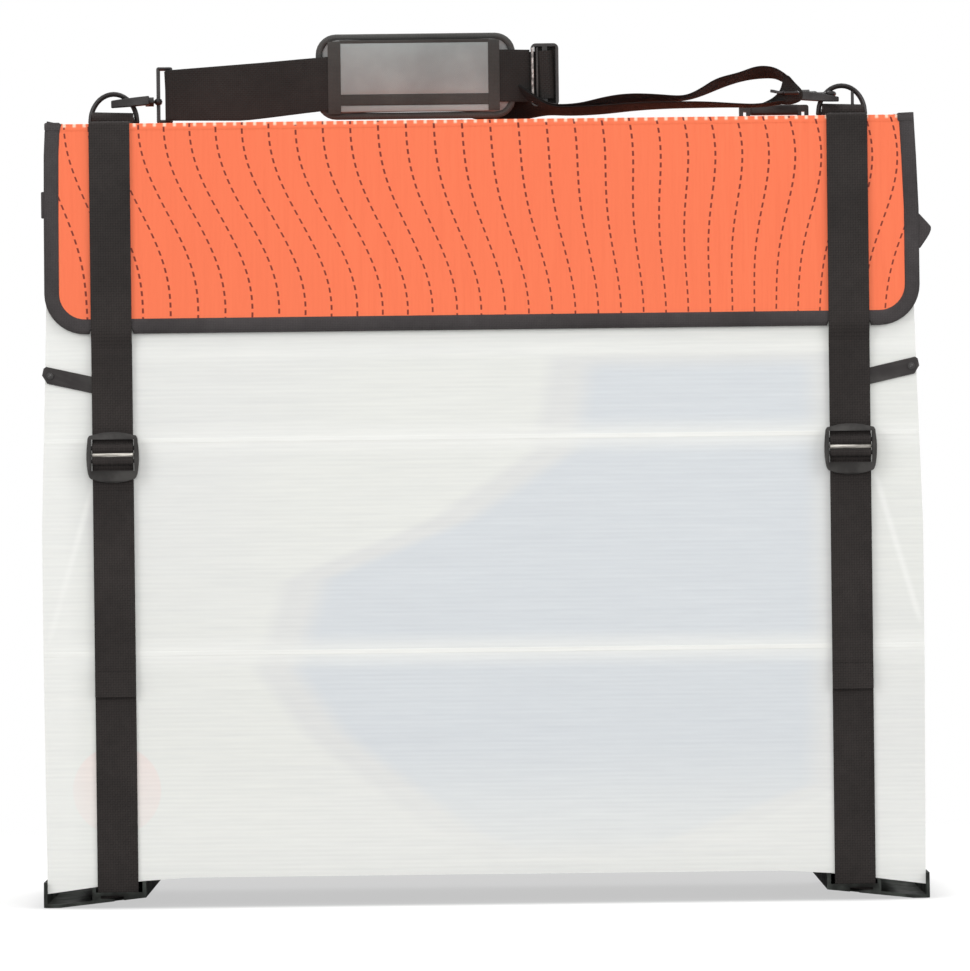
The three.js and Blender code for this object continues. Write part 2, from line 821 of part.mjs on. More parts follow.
function lockOutline() {
  const top = lock.topHeight;
  const edge = lock.halfWidth;
  const low = top - lock.taperEnd;
  const shape = new THREE.Shape();
  shape.moveTo(-edge + lock.cornerRun, top - lock.archRise);
  shape.quadraticCurveTo(0, top + lock.archRise, edge - lock.cornerRun, top - lock.archRise);
  shape.quadraticCurveTo(edge, top - lock.archRise, edge, top - lock.archRise - lock.cornerDrop);
  shape.quadraticCurveTo(edge + lock.bulge, top - lock.height / 2, edge, top - lock.taperDrop);
  shape.quadraticCurveTo(edge - lock.taperInset / 4, low, edge - lock.taperInset, low);
  shape.quadraticCurveTo(0, top - lock.height - (low - top + lock.height), -edge + lock.taperInset, low);
  shape.quadraticCurveTo(-edge + lock.taperInset / 4, low, -edge, top - lock.taperDrop);
  shape.quadraticCurveTo(-edge - lock.bulge, top - lock.height / 2, -edge, top - lock.archRise - lock.cornerDrop);
  shape.quadraticCurveTo(-edge, top - lock.archRise, -edge + lock.cornerRun, top - lock.archRise);
  return shape;
}

function ladderLock(side) {
  const top = lock.topHeight;
  const depth = lock.frontDepth - lock.railBackDepth;
  const half = lock.windowHalfWidth;
  const x = side * strap.halfSpacing;
  const middleY = -(lock.frontDepth + lock.railBackDepth) / 2;
  const blank = solid(bar(lockOutline(), depth, "y", 5).translate(x, middleY, 0));
  const window = block(
    [x - half, -lock.frontDepth - overrun, top - lock.windowEnd],
    [x + half, overrun - lock.railBackDepth, top - lock.archBand],
  );
  const behindArch = block(
    [x - half, -lock.archBackDepth, top - lock.windowEnd],
    [x + half, overrun - lock.railBackDepth, top + overrun],
  );
  const behindLip = block(
    [x - half, -lock.lipBackDepth, top - lock.height - overrun],
    [x + half, overrun - lock.railBackDepth, top - lock.archBand],
  );
  const front = lock.frontDepth;
  const ease = lock.edgeEase;
  const profile = polygon([
    [-lock.railBackDepth, top + overrun],
    [-front + 2 * ease, top + overrun],
    [-front + 2 * ease, top],
    [-front + ease, top - ease],
    [-front, top - lock.archBand],
    [-front, top - lock.windowEnd],
    [-front + ease, top - lock.height + ease],
    [-front + 2 * ease, top - lock.height],
    [-lock.railBackDepth, top - lock.height - overrun],
  ]);
  const shaped = solid(bar(profile, 2 * (half + overrun), "x").translate(x, 0, 0));
  const reach = half + gap;
  const bars = [loopBar, ladderBar].map((at, i) =>
    solid(
      rod(
        [x - reach, -at.depth, at.height],
        [x + reach, -at.depth, at.height],
        [lock.loopBarRadius, lock.ladderBarRadius][i],
        10,
      ),
    ),
  );
  const frame = [window, behindArch, behindLip].reduce((body, cut) => body.subtract(solid(cut)), blank);
  return frame.intersect(shaped).add(bars[0]).add(bars[1]);
}

function tailStrap(side) {
  const path = [
    [hull.halfDepth + strap.faceGap + tail.thickness / 2, tail.riserStart],
    [hull.halfDepth + strap.faceGap + tail.thickness / 2, tail.riserStart + tail.riserLean],
    [ladderBar.depth - tail.wrapRadius - tail.thickness / 2, ladderBar.height - tail.riserTop],
    ...arcPoints([ladderBar.depth, ladderBar.height], tail.wrapRadius, 180, -105, 14),
    [lock.lipBackDepth - tail.behindLip, ladderBar.height - tail.slotDrop],
    [lock.lipBackDepth - tail.behindLip, ladderBar.height - tail.lipExitDrop],
    [tail.restDepth, ladderBar.height - tail.restDrop],
    [tail.restDepth, tail.endHeight],
  ];
  const outer = tail.restDepth - tail.thickness / 2;
  const [low, high] = strapAcross(side);
  const hem = block(
    [low, -outer - tail.hemThickness, tail.endHeight],
    [high, -outer, tail.endHeight + tail.hemLength],
  );
  return joined(frontStrip(path, tail.thickness, side), hem);
}

// Keeper tabs, each clinched on a rivet that turns in a hole of the hull's front
function keeperRod(side, innerDepth, outerDepth, radius) {
  const at = (depth) => [side * keeper.rivetHalfSpacing, -depth, keeper.rivetHeight];
  return solid(rod(at(innerDepth), at(outerDepth), radius, 14));
}

function keeperHoles() {
  const inner = hull.halfDepth - sheet.thickness - overrun;
  const holes = sides.map(({ sign }) => {
    return keeperRod(sign, inner, hull.halfDepth + overrun, keeper.shaftRadius + gap);
  });
  return holes[0].add(holes[1]);
}

function keeperTab(side) {
  const half = keeper.width / 2;
  const angle = Math.atan(keeper.droop);
  const place = ([u, v]) => [
    side * (keeper.rivetHalfSpacing - u * Math.cos(angle) - v * Math.sin(angle)),
    keeper.rivetHeight - u * Math.sin(angle) + v * Math.cos(angle),
  ];
  const outline = polygon(
    [
      [-keeper.tipReach, half - keeper.tipChamfer / 3],
      [-keeper.tipReach + keeper.tipChamfer / 3, half],
      [keeper.innerReach, half],
      [keeper.innerReach, -half],
      [-keeper.tipReach + keeper.tipChamfer, -half],
      [-keeper.tipReach, -half + keeper.tipChamfer],
    ].map(place),
  );
  const middle = hull.halfDepth + gap + keeper.thickness / 2;
  const outer = middle + keeper.thickness / 2;
  const tab = solid(bar(outline, keeper.thickness, "y", 5).translate(0, -middle, 0));
  const shaft = keeperRod(side, hull.halfDepth - keeper.shaftReach, middle, keeper.shaftRadius);
  return tab.add(shaft).add(keeperRod(side, middle, outer + keeper.rivetHeadHeight, keeper.rivetRadius));
}

// D-rings, swivel snap hooks and webbing eyes, all on one line across the lid
function dRing(side) {
  const centreX = side * strap.halfSpacing;
  const at = (angle) =>
    new THREE.Vector3(
      centreX + ring.halfWidth * Math.cos(angle),
      carry.planeY,
      ring.barHeight + ring.arcHeight * Math.sin(angle),
    );
  const steps = 11;
  const points = Array.from({ length: steps + 1 }, (_, i) => at((Math.PI * i) / steps));
  const arc = wire(new THREE.CatmullRomCurve3(points), ring.wireRadius, 2 * steps);
  const foot = (x) => [x, carry.planeY, ring.barHeight];
  const ends = [centreX - ring.halfWidth, centreX + ring.halfWidth];
  const corners = ends.map((x) => new THREE.SphereGeometry(ring.wireRadius, 8, 6).translate(...foot(x)));
  return joined(arc, rod(foot(ends[0]), foot(ends[1]), ring.wireRadius, 8), ...corners);
}

function hookBowCentre() {
  const rise = (carry.swivelHeight - ring.barHeight) / ring.arcHeight;
  return strap.halfSpacing - ring.halfWidth * Math.sqrt(1 - rise ** 2) - hook.seatShift;
}

// A point on the hook's bow, at an angle measured in plan from straight outward.
function bowPoint(side, degrees) {
  const angle = THREE.MathUtils.degToRad(degrees);
  return [
    side * (hookBowCentre() + hook.bowRadius * Math.cos(angle)),
    carry.planeY + hook.bowRadius * Math.sin(angle),
    carry.swivelHeight,
  ];
}

function snapHook(side) {
  const along = (x) => [side * x, carry.planeY, carry.swivelHeight];
  const barrelOuter = hook.barrelInner + hook.barrelLength;
  const shankEnd = hookBowCentre() - hook.bowRadius;
  const span = 180 - hook.noseAngle;
  const steps = 9;
  const points = Array.from({ length: steps + 1 }, (_, i) => bowPoint(side, 180 - (span * i) / steps));
  const bow = wire(new THREE.CatmullRomCurve3(points.map((p) => new THREE.Vector3(...p))), hook.bowWire, 2 * steps);
  const nose = new THREE.SphereGeometry(hook.bowWire, 8, 6).translate(...points[steps]);
  const collar = new THREE.SphereGeometry(hook.shankRadius, 10, 8).translate(...along(shankEnd));
  const barrel = rod(along(hook.barrelInner), along(barrelOuter), hook.barrelRadius, 14);
  const shank = rod(along(barrelOuter - gap), along(shankEnd), hook.shankRadius, 10);
  const headStart = hook.barrelInner + hook.pinHeadLength;
  const headEnd = headStart + hook.pinHeadLength;
  const bore = rod(
    along(hook.barrelInner - overrun),
    along(headStart + gap),
    hook.pinRadius + hook.boreEase,
    12,
  );
  const pocket = rod(along(headStart - gap), along(headEnd + gap), hook.pinHeadRadius + hook.boreEase, 12);
  return joined(barrel, shank, bow, nose, collar).subtract(solid(bore)).subtract(solid(pocket));
}

function hookGate(side) {
  const root = bowPoint(side, hook.gateRootAngle);
  const tip = bowPoint(side, hook.noseAngle);
  const direction = tip.map((value, i) => value - root[i]);
  const length = Math.hypot(...direction);
  const inset = (hook.bowWire + gap) / length;
  const startInset = (hook.shankRadius + gap) / length;
  const from = root.map((value, i) => value + direction[i] * startInset * 0.5);
  const to = root.map((value, i) => value + direction[i] * (1 - inset));
  return rod(from, to, hook.gateRadius, 10);
}

// The webbing eye is a closed wire rectangle with a swivel pin; across gives the direction of its long bars.
function webbingEye(side, centreHeight, across) {
  const farX = eye.nearBarX - eye.depth;
  const halfWidth = webbing.width / 2 + eye.wireRadius + eye.sideClearance;
  const corner = (x, sign) => [
    side * x,
    carry.planeY + (across === "y" ? sign * halfWidth : 0),
    centreHeight + (across === "z" ? sign * halfWidth : 0),
  ];
  const corners = [
    corner(eye.nearBarX, 1),
    corner(eye.nearBarX, -1),
    corner(farX, -1),
    corner(farX, 1),
  ];
  const bars = corners.map((from, i) => rod(from, corners[(i + 1) % corners.length], eye.wireRadius, 8));
  const bends = corners.map((at) => new THREE.SphereGeometry(eye.wireRadius, 8, 4).translate(...at));
  const along = (x) => [side * x, carry.planeY, carry.swivelHeight];
  const headStart = hook.barrelInner + hook.pinHeadLength;
  const pin = rod(along(eye.nearBarX), along(headStart + gap), hook.pinRadius, 10);
  const head = rod(along(headStart), along(headStart + hook.pinHeadLength), hook.pinHeadRadius, 12);
  const ball = new THREE.SphereGeometry(eye.ballRadius, 10, 6).translate(...along(eye.nearBarX));
  return joined(...bars, ...bends, pin, head, ball);
}

// Shoulder strap webbing: it lies on a line that rises a little from the left eye to the slider
const eyeFarX = eye.nearBarX - eye.depth;
const sliderFace = slider.halfThickness + slider.webbingGap + webbing.thickness / 2;
const webbingRise = webbing.rightHeight - webbing.leftHeight;
const webbingRun = Math.hypot(slider.centreX + eyeFarX, webbingRise);
const webbingSlope = webbingRise / (slider.centreX + eyeFarX);

function mainWebbing() {
  const bend = eye.wireRadius + webbing.loopClearance + webbing.thickness / 2;
  const lap = webbing.thickness - gap / 2;
  const sliderY = -sliderFace;
  const weaveFront = 2 * sliderY;
  const inner = slider.halfLength - slider.rim;
  const start = inner - slider.crossingClearance;
  const end = slider.barHalfWidth + slider.crossingClearance;
  const centre = webbingRun - eyeFarX;
  const weave = [
    [centre - start, 0],
    [centre - end, weaveFront],
    [centre + end, weaveFront],
    [centre + start, 0],
    [centre + slider.halfLength - slider.webbingEndInset, 0],
  ];
  const neck = 3 * bend - eyeFarX;
  const front = stripShape([[neck - lap, 0], ...weave], webbing.thickness);
  const loop = stripShape(
    [
      [neck, 0],
      ...arcPoints([-eyeFarX, 0], bend, -50, -310, 12),
      [neck, lap],
      [webbing.secondLayer - eyeFarX, lap],
    ],
    webbing.thickness,
  );
  const lay = (shape) => {
    const geometry = bar(shape, webbing.width, "z");
    geometry.translate(eyeFarX, 0, 0).rotateY(-Math.asin(webbingRise / webbingRun));
    return geometry.translate(-eyeFarX, carry.planeY, webbing.leftHeight);
  };
  return joined(lay(front), lay(loop));
}

// A cushioned panel: a rounded outline with drawn-in sides, crowned faces and a sewn dip inside its rim.
function cushion({ halfLength, halfHeight, cornerRadius, sideDraw, edgeHalfThickness, ...form }) {
  const { crown, backCrown, seamShare, seamDip, segments } = form;
  const rings = [0.35, 0.62, seamShare - 0.07, seamShare, seamShare + 0.07, 0.97, 1];
  const outline = roundedRectangle([-halfLength, -halfHeight], [halfLength, halfHeight], cornerRadius)
    .getSpacedPoints(segments)
    .slice(0, segments)
    .map(({ x, y }) => [
      x - Math.sign(x) * sideDraw * Math.cos((Math.PI * y) / (2 * halfHeight)) * Math.abs(x / halfLength) ** 6,
      y - Math.sign(y) * sideDraw * Math.cos((Math.PI * x) / (2 * halfLength)) * Math.abs(y / halfHeight) ** 6,
    ]);
  const positions = [];
  const faceStarts = [1, -1].map((face) => {
    const start = positions.length / 3;
    const rise = face > 0 ? crown : backCrown;
    const depth = (share) => {
      const rim = share === 1 ? edgeHalfThickness / 2 : edgeHalfThickness;
      return rim + rise * Math.sqrt(1 - share ** 2) - (share === seamShare ? seamDip : 0);
    };
    positions.push(0, -face * depth(0), 0);
    rings.forEach((share) => {
      outline.forEach(([x, z]) => positions.push(x * share, -face * depth(share), z * share));
    });
    return start;
  });
  const indices = [];
  const ringVertex = (start, row, i) => start + 1 + row * segments + (i % segments);
  faceStarts.forEach((start, back) => {
    const turn = (a, b, c) => indices.push(...(back ? [a, c, b] : [a, b, c]));
    for (let i = 0; i < segments; i += 1) {
      turn(start, ringVertex(start, 0, i), ringVertex(start, 0, i + 1));
      for (let row = 0; row < rings.length - 1; row += 1) {
        const [a, b] = [ringVertex(start, row, i), ringVertex(start, row, i + 1)];
        const [c, d] = [ringVertex(start, row + 1, i), ringVertex(start, row + 1, i + 1)];
        turn(a, c, d);
        turn(a, d, b);
      }
    }
  });
  const last = rings.length - 1;
  for (let i = 0; i < segments; i += 1) {
    const [a, b] = [ringVertex(faceStarts[0], last, i), ringVertex(faceStarts[0], last, i + 1)];
    const [c, d] = [ringVertex(faceStarts[1], last, i), ringVertex(faceStarts[1], last, i + 1)];
    indices.push(a, c, d, a, d, b);
  }
  const geometry = new THREE.BufferGeometry();
  geometry.setAttribute("position", new THREE.Float32BufferAttribute(positions, 3));
  geometry.setIndex(indices);
  return geometry;
}

function webbingHeightAt(x) {
  return webbing.leftHeight + webbingSlope * (x + eyeFarX);
}

function shoulderPad() {
  const webbingHalf = webbing.thickness / 2 + pad.webbingGap;
  const padDepth = webbingHalf + pad.edgeHalfThickness + pad.backCrown;
  const padY = carry.planeY - padDepth;
  const body = solid(cushion(pad).translate(pad.centreX, padY, pad.centreHeight));
  const keepers = [-1, 1].map((end) => {
    const x = pad.centreX + end * pad.keeperOffset;
    const halfWidth = pad.keeperWidth / 2;
    const lean = webbingSlope * halfWidth;
    const half = webbing.width / 2 + pad.keeperMargin + lean;
    const middle = webbingHeightAt(x);
    const back = carry.planeY + webbingHalf + pad.keeperThickness;
    const outer = solid(
      block(
        [x - halfWidth, padY + pad.edgeHalfThickness / 2, middle - half - pad.keeperThickness],
        [x + halfWidth, back, middle + half + pad.keeperThickness],
      ),
    );
    const tunnel = block(
      [x - halfWidth - overrun, carry.planeY - webbingHalf, middle - half],
      [x + halfWidth + overrun, carry.planeY + webbingHalf, middle + half],
    );
    return outer.subtract(solid(tunnel));
  });
  return body.add(keepers[0]).add(keepers[1]);
}

function sliderFrame() {
  const { halfLength, halfHeight, rim, barHalfWidth, cornerRadius } = slider;
  const outline = roundedRectangle([-halfLength, -halfHeight], [halfLength, halfHeight], cornerRadius);
  const inner = halfLength - rim;
  const at = [slider.centreX, carry.planeY - sliderFace, webbingHeightAt(slider.centreX)];
  const windows = [
    [-inner, -barHalfWidth],
    [barHalfWidth, inner],
  ].map(([from, to]) => {
    const opening = rectangle([from, -halfHeight + rim], [to, halfHeight - rim]);
    return solid(bar(opening, 2 * slider.halfThickness + overrun, "y").translate(...at));
  });
  const blank = solid(bar(outline, 2 * slider.halfThickness, "y", 4).translate(...at));
  return blank.subtract(windows[0]).subtract(windows[1]);
}

// Webbing that twists about its centre line.
function twistedWebbing(rows) {
  const startX = slider.centreX - strand.startReach;
  const span = eyeFarX - startX;
  const places = rows.map(([along, height, , back]) => {
    const z = strand.floorHeight + height * strand.peakRise;
    return new THREE.Vector3(startX + along * span, carry.planeY + back * strand.backReach, z);
  });
  const turns = rows.map(([, , degrees]) => new THREE.Vector3(THREE.MathUtils.degToRad(degrees), 0, 0));
  const steps = 2 * (rows.length - 1);
  const [placeCurve, turnCurve] = [places, turns].map((p) => new THREE.CatmullRomCurve3(p, false, "catmullrom"));
  const sections = Array.from({ length: steps + 1 }, (_, i) => {
    const angle = turnCurve.getPoint(i / steps).x;
    return { centre: placeCurve.getPoint(i / steps), across: new THREE.Vector3(0, Math.sin(angle), Math.cos(angle)) };
  });
  const positions = sections.flatMap(({ centre, across }, i) => {
    const before = sections[Math.max(i - 1, 0)].centre;
    const after = sections[Math.min(i + 1, sections.length - 1)].centre;
    const forward = after.clone().sub(before).normalize();
    const normal = new THREE.Vector3().crossVectors(forward, across).normalize();
    return [
      [-1, -1],
      [1, -1],
      [1, 1],
      [-1, 1],
    ].flatMap(([side, face]) =>
      centre
        .clone()
        .addScaledVector(across, (side * strand.width) / 2)
        .addScaledVector(normal, (face * strand.thickness) / 2)
        .toArray(),
    );
  });
  const indices = [0, 2, 1, 0, 3, 2];
  for (let row = 0; row < sections.length - 1; row += 1) {
    for (let i = 0; i < 4; i += 1) {
      const [a, b] = [4 * row + i, 4 * row + ((i + 1) % 4)];
      if (i === 2) {
        indices.push(a, b, a + 4, b, b + 4, a + 4);
      } else {
        indices.push(a, b, b + 4, a, b + 4, a + 4);
      }
    }
  }
  const end = 4 * (sections.length - 1);
  indices.push(end, end + 1, end + 2, end, end + 2, end + 3);
  const geometry = new THREE.BufferGeometry();
  geometry.setAttribute("position", new THREE.Float32BufferAttribute(positions, 3));
  geometry.setIndex(indices);
  return geometry;
}

// The turn of the return webbing round the right eye's far bar, joined to the lower strand.
function lowerStrand() {
  const bend = eye.wireRadius + strand.turnClearance + strand.thickness / 2;
  const path = [
    [eyeFarX - bend, carry.swivelHeight - bend],
    ...arcPoints([eyeFarX, carry.swivelHeight], bend, -90, 90, 8),
  ];
  const turn = bar(stripShape(path, strand.thickness), strand.width, "y").translate(0, carry.planeY, 0);
  return joined(twistedWebbing(lowerStrandShares), turn);
}

// Fittings on the board: a low handle on double posts, and a webbing pull at each side edge of the flap
function lidHandle() {
  const { halfLength, barTop, barThickness, postWidth, postPairGap, topRadius } = handle;
  const under = barTop - barThickness;
  const pair = [
    [halfLength - postWidth, halfLength],
    [halfLength - 2 * postWidth - postPairGap, halfLength - postWidth - postPairGap],
  ];
  const floor = board.topHeight + gap;
  const bridge = roundedRectangle([-halfLength, under], [halfLength, barTop], topRadius);
  const centre = [handle.centreX, handle.planeY, floor];
  const posts = [-1, 1].flatMap((end) =>
    pair.map(([from, to]) => {
      const [low, high] = [end * from, end * to].sort((a, b) => a - b);
      const post = rectangle([low, 0], [high, barTop - topRadius]);
      return bar(post, handle.depth, "y").translate(...centre);
    }),
  );
  return joined(bar(bridge, handle.depth, "y", 4).translate(...centre), ...posts);
}

function flapEdge(z) {
  const start = board.flapBottomHeight + board.cornerRadius;
  const slope = (board.flapHalfWidth - board.topHalfWidth) / (board.topHeight - start);
  return board.flapHalfWidth - slope * Math.max(z - start, 0);
}

function pullLoop(side, reach, rootGap) {
  const high = pull.centreHeight + pull.rootHalfHeight;
  const low = pull.centreHeight - pull.rootHalfHeight;
  const tip = flapEdge(pull.centreHeight) + reach;
  const shape = polygon(
    [
      [flapEdge(low) + rootGap, low],
      [tip, pull.centreHeight - pull.tipFlat],
      [tip, pull.centreHeight + pull.tipFlat],
      [flapEdge(high) + rootGap, high],
    ].map(([x, z]) => [side * x, z]),
  );
  if (reach > 2 * pull.holeMargin) {
    const root = flapEdge(low) + pull.holeMargin / 2;
    const half = pull.rootHalfHeight - pull.holeMargin * 1.6;
    const hole = [
      [root, pull.centreHeight - half],
      [tip - pull.holeMargin, pull.centreHeight - pull.tipFlat / 2],
      [tip - pull.holeMargin, pull.centreHeight + pull.tipFlat / 2],
      [root, pull.centreHeight + half],
    ].map(([x, z]) => [side * x, z]);
    shape.holes.push(polygon(hole));
  }
  return bar(shape, pull.thickness, "y").translate(0, -flapMiddle, 0);
}

// Gear that travels inside: bulkheads, seat parts and foot brace stand side by side on the hull bottom
const gearFloor = arch.flatHeight + sheet.thickness + gap;
const gearWall = hull.halfDepth - 2 * (sheet.thickness + gap) - gap;

function bulkheadPlate(face) {
  const { bottomHalfWidth, topHalfWidth, height, topRise } = bulkhead;
  const shape = new THREE.Shape();
  shape.moveTo(-bottomHalfWidth, gearFloor);
  shape.lineTo(bottomHalfWidth, gearFloor);
  shape.lineTo(topHalfWidth, gearFloor + height);
  shape.quadraticCurveTo(0, gearFloor + height + 2 * topRise, -topHalfWidth, gearFloor + height);
  return bar(shape, bulkhead.thickness, "y").translate(0, face * (gearWall - bulkhead.thickness / 2), 0);
}

function packedCushion(form, wallDepth) {
  const y = -wallDepth + form.edgeHalfThickness + form.crown + gap;
  const z = gearFloor + form.halfHeight + gap;
  return cushion({ ...form, ...seatSeam }).translate(0, y, z);
}

function packedDepth(form, wallDepth) {
  return wallDepth - gap - 2 * form.edgeHalfThickness - form.crown - seatSeam.backCrown;
}

function footBraceTube(wallDepth) {
  const { height, depth, cornerRadius, wall, halfLength } = footBrace;
  const outline = roundedRectangle([-depth / 2, 0], [depth / 2, height], cornerRadius);
  const core = roundedRectangle([wall - depth / 2, wall], [depth / 2 - wall, height - wall], cornerRadius - wall);
  outline.holes.push(new THREE.Path(core.getPoints(4)));
  const y = -wallDepth + gap + depth / 2;
  return bar(outline, 2 * halfLength, "x", 4).translate(0, y, gearFloor);
}

const finishes = {
  sheet: finish(colours.sheet, 0.45),
  folded: finish(colours.foldedSheet, 0.5),
  board: finish(colours.board, 0.5),
  binding: finish(colours.binding, 0.85),
  webbing: finish(colours.webbing, 0.8),
  moulded: finish(colours.moulded, 0.5),
  steel: finish(colours.steel, 0.3, 0.6),
  pad: finish(colours.padPanel, 0.9),
  gear: finish(colours.gear, 0.8),
};

function hullGroup() {
  const group = new THREE.Group();
  group.add(...hullFaces(finishes.sheet), piece("hull_bottom", hullBottom(), finishes.sheet));
  sides.forEach((side) => {
    faces.forEach((face) => {
      group.add(piece(`gusset_${side.name}_${face.name}`, gussetLeaf(side.sign, face.sign), finishes.sheet));
    });
    group.add(piece(`shoe_${side.name}`, cornerShoe(side.sign), finishes.moulded));
    const frontTop = tail.riserStart - gap;
    const front = hullStrapFace(side.sign, -1, frontTop);
    group.add(piece(`strap_front_lower_${side.name}`, front, finishes.webbing));
    group.add(piece(`strap_under_${side.name}`, underStrap(side.sign), finishes.webbing));
    group.add(piece(`strap_rear_${side.name}`, rearStrap(side.sign), finishes.webbing));
    group.add(piece(`keeper_tab_${side.name}`, keeperTab(side.sign), finishes.moulded));
  });
  group.add(piece("bow_panel", foldedHullPanel(-1), finishes.folded));
  group.add(piece("stern_panel", foldedHullPanel(1), finishes.folded));
  return group;
}

function gearGroup() {
  const group = new THREE.Group();
  const baseDepth = gearWall - bulkhead.thickness;
  const backDepth = packedDepth(seatBase, baseDepth);
  group.add(piece("bow_bulkhead", bulkheadPlate(-1), finishes.gear));
  group.add(piece("stern_bulkhead", bulkheadPlate(1), finishes.gear));
  group.add(piece("seat_base", packedCushion(seatBase, baseDepth), finishes.gear));
  group.add(piece("seat_back", packedCushion(seatBack, backDepth), finishes.gear));
  group.add(piece("foot_brace", footBraceTube(packedDepth(seatBack, backDepth)), finishes.moulded));
  return group;
}

function lidGroup() {
  const group = new THREE.Group();
  group.add(piece("lid_top_panel", topPanel(), finishes.board));
  faces.forEach((face) => {
    group.add(piece(`lid_${face.name}_flap`, flapPanel(face.sign), finishes.board));
    const edging = flapBinding(face.sign);
    const foldedPull = solid(pullLoop(-1, pull.leftReach, -binding.edgeWeb / 2));
    const sewn = face.name === "front" ? edging.add(foldedPull) : edging;
    group.add(piece(`binding_${face.name}`, sewn, finishes.binding));
  });
  sides.forEach((side) => {
    group.add(piece(`binding_top_${side.name}`, topBinding(side.sign), finishes.binding));
    group.add(piece(`strap_top_${side.name}`, topStrap(side.sign), finishes.webbing));
    group.add(piece(`strap_flap_${side.name}`, frontFlapStrap(side.sign), finishes.webbing));
    group.add(piece(`strap_hanging_${side.name}`, hangingStrap(side.sign), finishes.webbing));
    group.add(piece(`ladder_lock_${side.name}`, ladderLock(side.sign), finishes.moulded));
    group.add(piece(`strap_tail_${side.name}`, tailStrap(side.sign), finishes.webbing));
  });
  group.add(piece("pull_loop_right", pullLoop(1, pull.rightReach, gap), finishes.webbing));
  group.add(piece("lid_handle", lidHandle(), finishes.moulded));
  return group;
}

function carryGroup() {
  const group = new THREE.Group();
  sides.forEach((side) => {
    group.add(piece(`d_ring_${side.name}`, dRing(side.sign), finishes.steel));
    group.add(piece(`snap_hook_${side.name}`, snapHook(side.sign), finishes.steel));
    group.add(piece(`hook_gate_${side.name}`, hookGate(side.sign), finishes.steel));
  });
  group.add(piece("webbing_eye_left", webbingEye(-1, webbing.leftHeight, "z"), finishes.steel));
  group.add(piece("webbing_eye_right", webbingEye(1, carry.swivelHeight, "y"), finishes.steel));
  group.add(piece("shoulder_webbing", mainWebbing(), finishes.webbing));
  group.add(piece("shoulder_pad", shoulderPad(), finishes.pad));
  group.add(piece("slider", sliderFrame(), finishes.steel));
  group.add(piece("strand_upper", twistedWebbing(upperStrandShares), finishes.webbing));
  group.add(piece("strand_lower", lowerStrand(), finishes.webbing));
  return group;
}

// The origin is under the middle of the whole outline, so the reaches to each side set where the group stands.
const rightReach = Math.max(shoe.outerHalfWidth, flapEdge(pull.centreHeight) + pull.rightReach);
const frontReach = Math.max(lock.frontDepth, loopBar.depth + hanging.loopRadius + hanging.loopThickness / 2);
const rearReach = strapInner + strap.thickness;
const kayak = new THREE.Group();
kayak.add(hullGroup(), gearGroup(), lidGroup(), carryGroup());
kayak.position.set((shoe.outerHalfWidth - rightReach) / 2, (frontReach - rearReach) / 2, 0);

export default kayak;
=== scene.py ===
import bpy
import math
from mathutils import Matrix, Vector


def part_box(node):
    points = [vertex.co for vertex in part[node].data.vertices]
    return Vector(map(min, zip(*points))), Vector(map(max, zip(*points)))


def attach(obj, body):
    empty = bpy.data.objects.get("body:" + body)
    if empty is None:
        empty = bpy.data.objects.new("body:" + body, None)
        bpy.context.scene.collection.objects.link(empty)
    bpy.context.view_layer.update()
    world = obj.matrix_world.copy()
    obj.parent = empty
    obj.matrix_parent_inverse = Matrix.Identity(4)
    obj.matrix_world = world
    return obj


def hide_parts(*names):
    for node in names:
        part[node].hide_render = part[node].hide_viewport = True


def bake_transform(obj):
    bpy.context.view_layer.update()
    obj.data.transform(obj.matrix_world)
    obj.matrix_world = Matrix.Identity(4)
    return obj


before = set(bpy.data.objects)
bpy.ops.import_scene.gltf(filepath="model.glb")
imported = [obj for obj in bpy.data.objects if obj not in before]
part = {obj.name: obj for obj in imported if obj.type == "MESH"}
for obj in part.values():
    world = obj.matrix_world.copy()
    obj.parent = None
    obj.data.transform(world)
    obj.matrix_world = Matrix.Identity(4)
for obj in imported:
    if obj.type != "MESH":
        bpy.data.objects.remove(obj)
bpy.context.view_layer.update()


# THE CAMERA. It stands level in front of the kayak's box, a long way off with a
# long lens, and is rolled by under one degree, as in the photograph.
view_data = bpy.data.cameras.new("front_view")
view_data.sensor_width = 36
view_data.lens = 264.9
view_data.clip_end = 60
front_view = bpy.data.objects.new("front_view", view_data)
front_view.location = (0.0003, -6.99, 0.3995)
front_view.rotation_euler = (math.radians(90), math.radians(0.68), 0)
bpy.context.scene.collection.objects.link(front_view)
bpy.context.scene.camera = front_view
bpy.context.scene.view_settings.view_transform = "Standard"


# THE STUDIO. A white sweep lit by large soft boxes: one above, one to each side
# and one from the front. Seen straight on, it is pure white.
def soft_box(name, place, aim, side, power):
    lamp = bpy.data.lights.new(name, "AREA")
    lamp.shape = "SQUARE"
    lamp.size = side
    lamp.energy = power
    holder = bpy.data.objects.new(name, lamp)
    holder.location = place
    holder.rotation_euler = (Vector(aim) - Vector(place)).to_track_quat("-Z", "Y").to_euler()
    bpy.context.scene.collection.objects.link(holder)


soft_box("soft_box_above", (0.2, -0.4, 3.4), (0, 0, 0.4), 2.6, 50)
soft_box("soft_box_left", (-2.6, -2.4, 1.9), (0, 0, 0.45), 1.8, 34)
soft_box("soft_box_right", (2.8, -2.2, 1.6), (0, 0, 0.45), 1.8, 28.5)
soft_box("soft_box_front", (0, -4.2, 1.4), (0, 0, 0.4), 2.4, 39)
soft_box("soft_box_behind", (0.4, 3.2, 2.2), (0, 0, 0.45), 2.0, 27)


